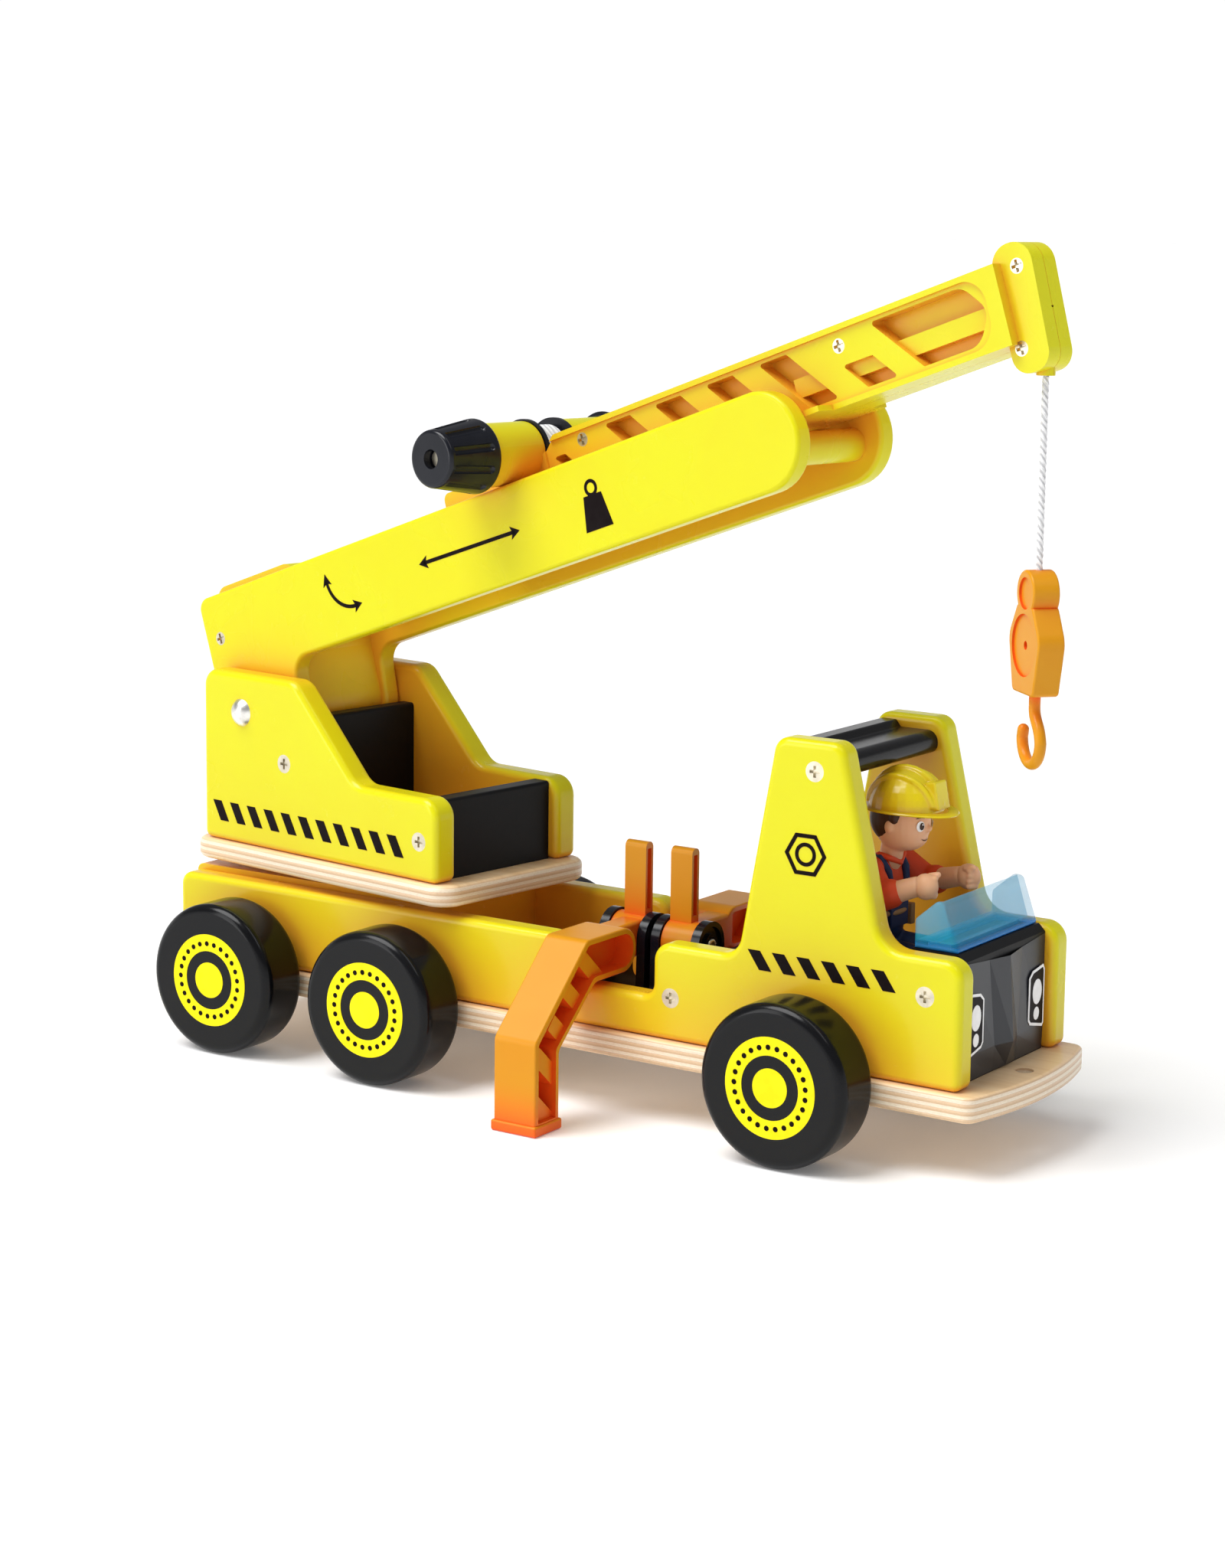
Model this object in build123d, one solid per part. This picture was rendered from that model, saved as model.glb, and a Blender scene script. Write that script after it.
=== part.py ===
from build123d import *
import math
import os

os.makedirs("parts", exist_ok=True)

# Toy crane truck.  Millimetres, +X is the truck's front, +Y its left side, +Z up.
# The ground is at z = 0.  The origin is on the ground, half-way between the tail
# and the tip of the crane and midway between the wheels.

# ---- driving dimensions -------------------------------------------------------
ORIGIN_X = 149.7            # distance from the rear axle to the origin

WHEEL_R = 30.0
WHEEL_WIDTH = 21.8
WHEEL_EDGE = 3.7
WHEEL_OUT = 69.1            # centre plane of the truck to a wheel's outer face
AXLE_R = 3.0
AXLE_BORE_R = 3.06
AXLE_XS = {"rear": 0.0, "middle": 78.3, "front": 259.6}
AXLE_END = 62.1             # half the length of an axle

BOARD_BOTTOM = 22.0
BOARD_TOP = 31.4
BOARD_HALF = 44.8
BOARD_REAR = -42.0
BOARD_CORNER_X = 325.6
BOARD_TIP_X = 332.5
HITCH_X = 324.0
HITCH_R = 3.4

PANEL_OUT = 42.0
PANEL_IN = 31.0
PANEL_EDGE = 2.8
PANEL_REAR = -39.6
PANEL_TOP = 64.3
NOTCH_REAR = 150.0
NOTCH_FRONT = 191.4
NOTCH_Z = 47.2
PANEL_FRONT = 319.6
CAB_TOP = 149.5
HOOD_TOP = 78.0

DECK_TOP = 66.0
DECK_FRONT = 86.0

TURN_X = 35.0               # turntable axis
TURN_DEG = -7.76            # turret angle at rest
PLATE_BOTTOM = 68.6
PLATE_TOP = 77.0
PLATE_HALF_L = 73.5
PLATE_HALF_W = 41.7
TURRET_OUT = 39.3
TURRET_IN = 27.9
TURRET_TOP = 146.7
TURRET_LOW = 109.7
PIVOT_X = -44.2             # boom pivot from the turntable axis
PIVOT_Z = 130.9
BOOM_DEG = 18.9             # boom angle at rest

SHELL_OUT = 27.3
SHELL_IN = 19.5
BOOM_LOW = 15.5
BOOM_HIGH = 51.2
BOOM_REAR = -25.4
BOOM_NOSE = 300.0

INNER_LOW = 38.0
INNER_HIGH = 65.7
INNER_HALF = 11.0
INNER_REAR = 111.0
INNER_FRONT = 383.0
RUNNER_HALF = 19.2
RUNNER_HIGH = 46.8
RUNNER_FRONT = 305.0

WINCH_U = 155.5
WINCH_W = 63.6
WINCH_AXLE_R = 3.0
WINCH_BORE_R = 3.06
DRUM_HALF = 7.2
FLANGE_R = 12.8
CORD_R = 1.2
WINDING_R = 10.4
COLLAR_R = 12.0
COLLAR_END = 33.8
KNOB_END = 57.6

HEAD_HALF = 6.8
CORD_X = 312.0              # hanging cord from the turntable axis, along the boom
CORD_EXIT_Z = 281.0
ROLLER_R = 3.6
HOOK_TOP_Z = 216.6
HOOK_TWIST = -34.0          # turn of the hook block about the cord

SHAFT_Z = 58.0
SHAFT_R = 3.0
SHAFT_BORE_R = 3.06
OUTRIGGER_MID_X = 167.5
LEG_X0 = 151.7
LEG_X1 = 170.3

SCREW_HEAD_R = 3.7
SCREW_SHANK_R = 1.6


# ---- helpers ------------------------------------------------------------------
def rounded(outline):
    """Face in XY from (x, y, corner radius) points."""
    points = [(x, y) for x, y, r in outline]
    face = make_face(Polyline(*points, close=True))
    for x, y, r in outline:
        if r > 0:
            corner = face.vertices().sort_by_distance((x, y, 0))[0]
            face = fillet(corner, r)
    return face


def plate_xz(outline, y0, y1, edge=0.0):
    """Plate whose outline lies in XZ, from y0 to y1, rims rounded by edge."""
    body = extrude(rounded(outline), amount=y1 - y0)
    if edge > 0:
        rims = body.faces().filter_by(Axis.Z).edges()
        body = fillet(rims, edge)
    return Pos(0, y1, 0) * Rot(90, 0, 0) * body


def plate_yz(outline, x0, x1, edge=0.0):
    """Plate whose outline lies in YZ, from x0 to x1, rims rounded by edge."""
    body = extrude(rounded(outline), amount=x1 - x0)
    if edge > 0:
        rims = body.faces().filter_by(Axis.Z).edges()
        body = fillet(rims, edge)
    return Plane(origin=(x0, 0, 0), x_dir=(0, 1, 0), z_dir=(1, 0, 0)) * body


def group(bodies):
    """Separate solids kept together as one piece set."""
    total = Part()
    for body in bodies:
        total = total + body
    return total


def block(x0, x1, y0, y1, z0, z1):
    """Box between two corners."""
    size = Box(x1 - x0, y1 - y0, z1 - z0)
    return Pos((x0 + x1) / 2, (y0 + y1) / 2, (z0 + z1) / 2) * size


def rod_y(x, z, r, y0, y1):
    """Cylinder along Y."""
    return Pos(x, (y0 + y1) / 2, z) * Rot(90, 0, 0) * Cylinder(r, y1 - y0)


def rod_x(y, z, r, x0, x1):
    """Cylinder along X."""
    return Pos((x0 + x1) / 2, y, z) * Rot(0, 90, 0) * Cylinder(r, x1 - x0)


def rod_z(x, y, r, z0, z1):
    """Cylinder along Z."""
    return Pos(x, y, (z0 + z1) / 2) * Cylinder(r, z1 - z0)


def both_sides(make):
    """The same piece for the right side (-1) and the left side (+1)."""
    return {"right": make(-1), "left": make(1)}


def screw(x, z, face_y, side, head_r=SCREW_HEAD_R, length=16.0):
    """Countersunk screw driven inwards from the plane y = side * face_y."""
    outer = side * face_y
    inner = side * (face_y - length)
    shank = rod_y(x, z, SCREW_SHANK_R, min(outer, inner), max(outer, inner))
    cone = Cone(head_r - 1.6, head_r, 2.2)
    cone = Rot(-90 * side, 0, 0) * cone
    cone = Pos(x, side * (face_y - 1.1), z) * cone
    slot = Box(4.2, 1.4, 1.1) + Box(1.1, 1.4, 4.2)
    slot = Pos(x, side * (face_y - 0.6), z) * slot
    return shank + cone - slot


def screw_space(x, z, face_y, side, head_r=SCREW_HEAD_R, length=16.0):
    """The hole a screw sits in."""
    outer = side * face_y
    inner = side * (face_y - length)
    hole = rod_y(x, z, SCREW_SHANK_R, min(outer, inner), max(outer, inner))
    cone = Cone(head_r - 1.6, head_r, 2.2)
    cone = Rot(-90 * side, 0, 0) * cone
    mouth = rod_y(x, z, head_r, min(outer, outer + side), max(outer, outer + side))
    return hole + Pos(x, side * (face_y - 1.1), z) * cone + mouth


pieces = {}


# ---- chassis ------------------------------------------------------------------
def axle_bores():
    """Cross bores the three axles run in."""
    bores = Part()
    for x in AXLE_XS.values():
        bores = bores + rod_y(x, WHEEL_R, AXLE_BORE_R, -60, 60)
    return bores


AXLE_BORES = axle_bores()


def base_board():
    """Plywood board with a bowed nose and a hitch hole."""
    nose = ThreePointArc(
        (BOARD_CORNER_X, -BOARD_HALF), (BOARD_TIP_X, 0), (BOARD_CORNER_X, BOARD_HALF)
    )
    sides = Polyline(
        (BOARD_CORNER_X, BOARD_HALF),
        (BOARD_REAR, BOARD_HALF),
        (BOARD_REAR, -BOARD_HALF),
        (BOARD_CORNER_X, -BOARD_HALF),
    )
    face = make_face(nose + sides)
    face = fillet(face.vertices(), 5.0)
    board = Pos(0, 0, BOARD_BOTTOM) * extrude(face, amount=BOARD_TOP - BOARD_BOTTOM)
    board = fillet(board.faces().filter_by(Axis.Z).edges(), 1.6)
    board = board - rod_z(HITCH_X, 0, HITCH_R, BOARD_BOTTOM - 1, BOARD_TOP + 1)
    board = board - rod_z(TURN_X, 0, 4.0, BOARD_BOTTOM - 1, BOARD_TOP + 1)
    return board - AXLE_BORES


CAB_OUTLINE = [
    (PANEL_REAR, BOARD_TOP, 3.0),
    (PANEL_REAR, PANEL_TOP, 5.0),
    (NOTCH_REAR, PANEL_TOP, 7.0),
    (NOTCH_REAR, NOTCH_Z, 4.5),
    (NOTCH_FRONT, NOTCH_Z, 4.5),
    (NOTCH_FRONT, 67.6, 7.0),
    (227.6, 67.6, 8.0),
    (242.2, CAB_TOP, 6.0),
    (270.0, CAB_TOP, 6.0),
    (287.1, HOOD_TOP, 11.0),
    (PANEL_FRONT, HOOD_TOP, 7.5),
    (PANEL_FRONT, BOARD_TOP, 3.0),
]

CHASSIS_SCREWS = [(199.7, 47.6), (259.0, 138.6), (305.5, 64.2)]


def side_panel(side):
    """Long wooden side with cab frame, hood cheek and outrigger notch."""
    y0 = min(side * PANEL_IN, side * PANEL_OUT)
    panel = plate_xz(CAB_OUTLINE, y0, y0 + PANEL_OUT - PANEL_IN, PANEL_EDGE)
    for x, z in CHASSIS_SCREWS:
        panel = panel - screw_space(x, z, PANEL_OUT, side)
    return panel - AXLE_BORES


pieces["base_board"] = base_board()
for name, panel in both_sides(side_panel).items():
    pieces["side_panel_" + name] = panel

chassis_screws = []
for side in (-1, 1):
    for x, z in CHASSIS_SCREWS:
        chassis_screws.append(screw(x, z, PANEL_OUT, side))
pieces["chassis_screws"] = group(chassis_screws)


def screw_holes_inside(body):
    """Cut the holes of the chassis screws into a block between the panels."""
    for side in (-1, 1):
        for x, z in CHASSIS_SCREWS:
            body = body - screw_space(x, z, PANEL_OUT, side)
    return body


def rear_deck():
    """Yellow block the turntable stands on."""
    body = block(PANEL_REAR, DECK_FRONT, -PANEL_IN, PANEL_IN, BOARD_TOP, DECK_TOP)
    rear_edges = body.faces().sort_by(Axis.X)[0].edges()
    top_rear = rear_edges.sort_by(Axis.Z)[-1]
    body = fillet(top_rear, 3.0)
    body = body - rod_z(TURN_X, 0, 4.0, BOARD_TOP - 1, DECK_TOP + 1)
    return body - AXLE_BORES


pieces["rear_deck_block"] = rear_deck()

# Low cross block that carries the screws just behind the cab.
brace = block(194.0, 206.0, -PANEL_IN, PANEL_IN, BOARD_TOP, 56.0)
pieces["middle_cross_block"] = screw_holes_inside(brace)

seat = block(236.0, 271.0, -PANEL_IN, PANEL_IN, BOARD_TOP, 62.0)
pieces["seat_block"] = seat - AXLE_BORES


def hood_block():
    """Black block between the hood cheeks, with a grille facet in relief."""
    body = block(294.0, 315.0, -PANEL_IN, PANEL_IN, BOARD_TOP, HOOD_TOP)
    top_front = body.faces().sort_by(Axis.X)[-1].edges().sort_by(Axis.Z)[-1]
    body = chamfer(top_front, 2.6)
    return screw_holes_inside(body)


pieces["hood_block"] = hood_block()


def windshield():
    """Open-backed clear screen standing on the hood block."""
    z0 = HOOD_TOP
    outline = [
        (294.3, z0, 0),
        (312.3, z0, 1.0),
        (306.0, 95.5, 2.4),
        (302.6, 95.5, 2.0),
        (294.3, 88.4, 2.0),
    ]
    body = plate_xz(outline, -30.6, 30.6, 1.2)
    hollow = [(290.0, z0 + 2.6, 0), (309.0, z0 + 2.6, 0), (303.0, 99.0, 0), (290.0, 99.0, 0)]
    body = body - plate_xz(hollow, -28.4, 28.4)
    return body - block(297.5, 306.5, -26.0, 26.0, z0 - 1, z0 + 4)


pieces["windshield"] = windshield()

ROOF_OUTLINE = [
    (243.6, 136.2, 2.0),
    (268.4, 136.2, 3.4),
    (268.4, 144.6, 4.4),
    (252.6, 144.6, 1.0),
    (250.6, 147.2, 1.2),
    (243.6, 147.2, 1.4),
]
roof = plate_xz(ROOF_OUTLINE, -PANEL_IN, PANEL_IN)
pieces["roof_bar"] = screw_holes_inside(roof)


# ---- outriggers ---------------------------------------------------------------
def bracket(x0):
    """Black upright with a ring for the outrigger shaft."""
    foot = [
        (-19.0, BOARD_TOP, 0),
        (19.0, BOARD_TOP, 0),
        (19.0, 34.8, 1.2),
        (9.6, 38.5, 5.0),
        (9.2, SHAFT_Z, 0),
        (-9.2, SHAFT_Z, 0),
        (-9.6, 38.5, 5.0),
        (-19.0, 34.8, 1.2),
    ]
    body = plate_yz(foot, x0, x0 + 3.7)
    body = body + rod_x(0, SHAFT_Z, 9.2, x0, x0 + 3.7)
    body = body - rod_x(0, SHAFT_Z, 7.2, x0 + 2.6, x0 + 4.0)
    body = body + rod_x(0, SHAFT_Z, 4.6, x0, x0 + 3.7)
    return body - rod_x(0, SHAFT_Z, SHAFT_R, x0 - 1, x0 + 5)


BRACKET_XS = [144.6, 162.5, 168.8, 186.7]
pieces["outrigger_brackets"] = group([bracket(x) for x in BRACKET_XS])

shaft = rod_x(0, SHAFT_Z, SHAFT_R, 143.6, 189.4)
shaft_bolt = rod_x(0, SHAFT_Z, 1.4, 180.0, 189.4)
pieces["outrigger_shaft"] = shaft - shaft_bolt
bolt_head = Pos(190.3, 0, SHAFT_Z) * Rot(0, 90, 0) * Cylinder(2.6, 1.8)
bolt_head = fillet(bolt_head.faces().sort_by(Axis.X)[-1].edges(), 0.8)
bolt_slot = Pos(191.0, 0, SHAFT_Z) * (Box(0.8, 3.2, 0.8) + Box(0.8, 0.8, 3.2))
pieces["outrigger_shaft_screw"] = shaft_bolt + bolt_head - bolt_slot

LEG_OUTLINE = [
    (-85.3, 2.0, 0),
    (-70.3, 2.0, 0),
    (-70.3, 29.2, 4.0),
    (-47.6, 50.3, 6.0),
    (-20.8, 50.3, 8.3),
    (-20.8, 67.2, 8.3),
    (-53.0, 67.2, 4.0),
    (-85.3, 35.0, 4.0),
]
POCKET_OUTLINE = [
    (-83.2, 4.6, 0),
    (-72.4, 4.6, 0),
    (-72.4, 30.2, 2.0),
    (-48.4, 52.4, 4.0),
    (-22.9, 52.4, 6.2),
    (-22.9, 65.1, 6.2),
    (-52.1, 65.1, 2.0),
    (-83.2, 34.1, 2.0),
]
LEG_WEB = 1.2


def leg_ribs():
    """Slanted ribs inside the leg's pocket."""
    ribs = Part()
    for k in range(5):
        rib = Pos((LEG_X0 + LEG_X1) / 2, -82.0 + 9.4 * k, 11.0 + 10.2 * k) * Rot(-42, 0, 0)
        ribs = ribs + rib * Box(LEG_X1 - LEG_X0 - 4.0, 26.0, 6.4)
    return ribs


def outrigger():
    """Leg, hub and hand lever, one moulding, for the right side."""
    leg = plate_yz(LEG_OUTLINE, LEG_X0, LEG_X1, 0.7)
    mid = (LEG_X0 + LEG_X1) / 2
    pocket = plate_yz(POCKET_OUTLINE, mid + LEG_WEB, LEG_X1 + 1)
    pocket = pocket + plate_yz(POCKET_OUTLINE, LEG_X0 - 1, mid - LEG_WEB)
    leg = leg - pocket
    whole_pocket = plate_yz(POCKET_OUTLINE, LEG_X0, LEG_X1)
    leg = leg + (leg_ribs() & whole_pocket)
    foot = block(LEG_X0 - 0.8, LEG_X1 + 0.8, -86.3, -69.3, 0.0, 4.0)
    foot = fillet(foot.edges(), 0.8)
    neck = block(LEG_X0, 162.2, -26.0, 0.0, 51.0, 65.0)
    neck = fillet(neck.edges().filter_by(Axis.Y), 1.5)
    hub = rod_x(0, SHAFT_Z, 8.3, 148.6, 162.2)
    lever = block(152.2, 161.8, -2.5, 2.5, SHAFT_Z, 94.6)
    lever = fillet(lever.faces().sort_by(Axis.Z)[-1].edges().filter_by(Axis.X), 2.4)
    grip = block(160.0, 163.0, -1.3, 1.3, 68.5, 92.0) + block(151.0, 154.0, -1.3, 1.3, 68.5, 92.0)
    body = leg + foot + neck + hub + (lever - grip)
    return body - rod_x(0, SHAFT_Z, SHAFT_BORE_R, 140, 180)


pieces["outrigger_right"] = outrigger()
turn_over = Pos(OUTRIGGER_MID_X, 0, 0) * Rot(0, 0, 180) * Pos(-OUTRIGGER_MID_X, 0, 0)
pieces["outrigger_left"] = turn_over * outrigger()


# ---- wheels and axles ---------------------------------------------------------
def wheel(x, side):
    """Round-edged wooden wheel with a blind bore for its axle."""
    inner = WHEEL_OUT - WHEEL_WIDTH
    y0 = min(side * inner, side * WHEEL_OUT)
    disc = rod_y(x, WHEEL_R, WHEEL_R, y0, y0 + WHEEL_WIDTH)
    disc = fillet(disc.faces().filter_by(Axis.Y).edges(), WHEEL_EDGE)
    dish = rod_y(x, WHEEL_R, 21.0, side * inner - 1.5, side * inner + 1.5)
    disc = disc - dish
    boss = rod_y(x, WHEEL_R, 8.0, side * (inner + 0.75) - 0.75, side * (inner + 0.75) + 0.75)
    disc = disc + boss
    return disc - rod_y(x, WHEEL_R, AXLE_R, -AXLE_END, AXLE_END)


for place, x in AXLE_XS.items():
    pieces["axle_" + place] = rod_y(x, WHEEL_R, AXLE_R, -AXLE_END, AXLE_END)
    pieces["wheel_" + place + "_right"] = wheel(x, -1)
    pieces["wheel_" + place + "_left"] = wheel(x, 1)


# ---- turntable ----------------------------------------------------------------
pieces["turntable_washer"] = rod_z(TURN_X, 0, 24.0, DECK_TOP, 68.3) - rod_z(TURN_X, 0, 4.0, 60, 70)
pivot = rod_z(TURN_X, 0, 4.0, 24.0, 79.0)
pivot = pivot + rod_z(TURN_X, 0, 8.0, 79.0, 82.0)
pieces["turntable_bolt"] = pivot

ON_TURRET = Pos(TURN_X, 0, 0) * Rot(0, 0, TURN_DEG)


def turret_plate():
    """Plywood plate with round corners."""
    face = RectangleRounded(2 * PLATE_HALF_L, 2 * PLATE_HALF_W, 10.0)
    body = Pos(0, 0, PLATE_BOTTOM) * extrude(face, amount=PLATE_TOP - PLATE_BOTTOM)
    body = fillet(body.faces().filter_by(Axis.Z).edges(), 2.6)
    return body - rod_z(0, 0, 4.06, 60, 90)


TURRET_OUTLINE = [
    (-67.5, PLATE_TOP, 3.0),
    (-67.5, TURRET_TOP, 7.0),
    (-13.2, TURRET_TOP, 9.0),
    (22.0, TURRET_LOW, 10.0),
    (66.8, TURRET_LOW, 8.0),
    (66.8, PLATE_TOP, 3.0),
]
TURRET_SCREWS = [(-18.8, 113.2), (57.5, 92.7)]


def turret_panel(side):
    """Sloped side of the turret."""
    y0 = min(side * TURRET_IN, side * TURRET_OUT)
    panel = plate_xz(TURRET_OUTLINE, y0, y0 + TURRET_OUT - TURRET_IN, PANEL_EDGE)
    for x, z in TURRET_SCREWS:
        panel = panel - screw_space(x, z, TURRET_OUT, side)
    return panel - rod_y(PIVOT_X, PIVOT_Z, 4.0, -50, 50)


pieces["turret_plate"] = ON_TURRET * turret_plate()
for name, panel in both_sides(turret_panel).items():
    pieces["turret_panel_" + name] = ON_TURRET * panel


def turret_block(x0, x1, z1):
    """Black cross block between the turret sides."""
    body = block(x0, x1, -TURRET_IN, TURRET_IN, PLATE_TOP, z1)
    body = fillet(body.faces().sort_by(Axis.Z)[-1].edges().filter_by(Axis.Y), 1.4)
    for side in (-1, 1):
        for x, z in TURRET_SCREWS:
            body = body - screw_space(x, z, TURRET_OUT, side)
    return body


pieces["turret_front_block"] = ON_TURRET * turret_block(53.4, 62.2, 108.4)
pieces["turret_rear_block"] = ON_TURRET * turret_block(-21.9, -14.4, 131.0)

turret_screws = []
for side in (-1, 1):
    for x, z in TURRET_SCREWS:
        turret_screws.append(ON_TURRET * screw(x, z, TURRET_OUT, side))
pieces["turret_screws"] = group(turret_screws)


def pivot_bolt():
    """Bolt through both turret sides with a domed head at each end."""
    body = rod_y(PIVOT_X, PIVOT_Z, 4.0, -TURRET_OUT, TURRET_OUT)
    for side in (-1, 1):
        dome = Sphere(6.4) & block(-7, 7, -7, 7, 3.2, 7)
        dome = Rot(-90 * side, 0, 0) * dome
        body = body + Pos(PIVOT_X, side * (TURRET_OUT - 3.2), PIVOT_Z) * dome
    return body


pieces["boom_pivot_bolt"] = ON_TURRET * pivot_bolt()


# ---- outer boom ---------------------------------------------------------------
# Boom pieces are drawn with X along the boom and Z across it, from its pivot.
ON_BOOM = ON_TURRET * Pos(PIVOT_X, 0, PIVOT_Z) * Rot(0, -BOOM_DEG, 0)

NOSE_R = (BOOM_HIGH - BOOM_LOW) / 2
SHELL_OUTLINE = [
    (-20.0, -20.0, 19.9),
    (20.0, -20.0, 19.9),
    (24.3, BOOM_LOW, 8.5),
    (BOOM_NOSE, BOOM_LOW, NOSE_R - 0.02),
    (BOOM_NOSE, BOOM_HIGH, NOSE_R - 0.02),
    (BOOM_REAR, BOOM_HIGH, 5.0),
    (BOOM_REAR, 10.0, 8.0),
]
BOSS_U = 286.0
BOSS_W = 29.5
BOSS_R = 6.0
BOOM_SCREWS = [(-16.2, 33.2)]


def boom_shell(side):
    """One side of the outer boom: a rimmed plate with two guide rails inside."""
    y0 = min(side * SHELL_IN, side * SHELL_OUT)
    shell = plate_xz(SHELL_OUTLINE, y0, y0 + SHELL_OUT - SHELL_IN, 1.6)
    rail0 = min(side * 12.2, side * SHELL_IN)
    rail1 = max(side * 12.2, side * SHELL_IN)
    shell = shell + block(40.0, 276.0, rail0, rail1, 34.4, INNER_LOW - 0.3)
    shell = shell + block(40.0, 276.0, rail0, rail1, RUNNER_HIGH + 0.3, 50.0)
    for u, w in BOOM_SCREWS:
        shell = shell - screw_space(u, w, SHELL_OUT, side, 2.7, 14.0)
    shell = shell - rod_y(BOSS_U, BOSS_W, 2.4, -23.0, 23.0)
    return shell - rod_y(0, 0, 4.06, -30, 30)


for name, shell in both_sides(boom_shell).items():
    pieces["boom_shell_" + name] = ON_BOOM * shell


def centre_web():
    """Block that fills the foot between the two boom shells and holds them apart."""
    foot_outline = [
        (-18.6, -18.6, 18.5),
        (18.6, -18.6, 18.5),
        (20.4, 20.0, 0),
        (-18.6, 20.0, 0),
    ]
    cap_outline = [
        (-21.5, 18.0, 3.0),
        (20.3, 18.0, 0),
        (23.4, 34.0, 6.0),
        (30.0, 54.4, 6.0),
        (-21.5, 54.4, 6.0),
    ]
    foot = plate_xz(foot_outline, -SHELL_IN, SHELL_IN)
    cap = plate_xz(cap_outline, -SHELL_IN, SHELL_IN)
    body = foot + cap
    for side in (-1, 1):
        for u, w in BOOM_SCREWS:
            body = body - screw_space(u, w, SHELL_OUT, side, 2.7, 14.0)
    return body - rod_y(0, 0, 4.06, -30, 30)


pieces["boom_centre_web"] = ON_BOOM * centre_web()

boss = rod_y(BOSS_U, BOSS_W, BOSS_R, -SHELL_IN, SHELL_IN) + rod_y(BOSS_U, BOSS_W, 2.4, -23.0, 23.0)
pieces["boom_nose_spacer"] = ON_BOOM * boss

boom_screws = []
for side in (-1, 1):
    for u, w in BOOM_SCREWS:
        boom_screws.append(ON_BOOM * screw(u, w, SHELL_OUT, side, 2.7, 14.0))
pieces["boom_screws"] = group(boom_screws)


# ---- inner boom ---------------------------------------------------------------
INNER_OUTLINE = [
    (INNER_REAR, INNER_LOW, 2.0),
    (INNER_FRONT, INNER_LOW, 0),
    (INNER_FRONT, INNER_HIGH, 0),
    (174.0, INNER_HIGH, 3.0),
    (166.0, 59.2, 3.0),
    (INNER_REAR, 59.2, 3.0),
]
HEAD_OUTLINE = [
    (378.6, 27.8, 6.6),
    (393.4, 27.8, 6.6),
    (396.0, 71.2, 7.6),
    (379.6, 71.2, 7.6),
]
POCKET_FLOOR = 3.2
WINDOW_SLANT = 0.88
WINDOW_PITCH = 25.65
WINDOW_U = 199.3
INNER_SCREWS = [(187.1, 60.2), (312.6, 58.6)]
HEAD_SCREWS = [(389.2, 63.0), (383.4, 36.6)]


def window(u, width, top, bottom):
    """Slanted pocket in both truss sides."""
    shift = WINDOW_SLANT * (top - bottom)
    outline = [
        (u, top, 0.8),
        (u + width, top, 0.8),
        (u + width + shift, bottom, 0.8),
        (u + shift, bottom, 0.8),
    ]
    return plate_xz(outline, -20, -POCKET_FLOOR) + plate_xz(outline, POCKET_FLOOR, 20)


def truss_windows():
    """All pockets of the truss sides."""
    cut = window(171.0, 6.0, 57.5, 41.6) + window(312.2, 13.5, 51.6, 41.6)
    for k in range(4):
        cut = cut + window(WINDOW_U + WINDOW_PITCH * k, 13.2, 62.4, 41.6)
    front = [
        (327.5, 62.4, 1.0),
        (368.0, 62.4, 8.0),
        (376.5, 52.0, 6.0),
        (370.0, 41.6, 8.0),
        (345.8, 41.6, 1.0),
    ]
    cut = cut + plate_xz(front, -20, -POCKET_FLOOR)
    return cut + plate_xz(front, POCKET_FLOOR, 20)


TRUSS_WINDOWS = truss_windows()
DRUM_SPACE = rod_y(WINCH_U, WINCH_W, FLANGE_R + 1.2, -9.4, 9.4)


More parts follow.
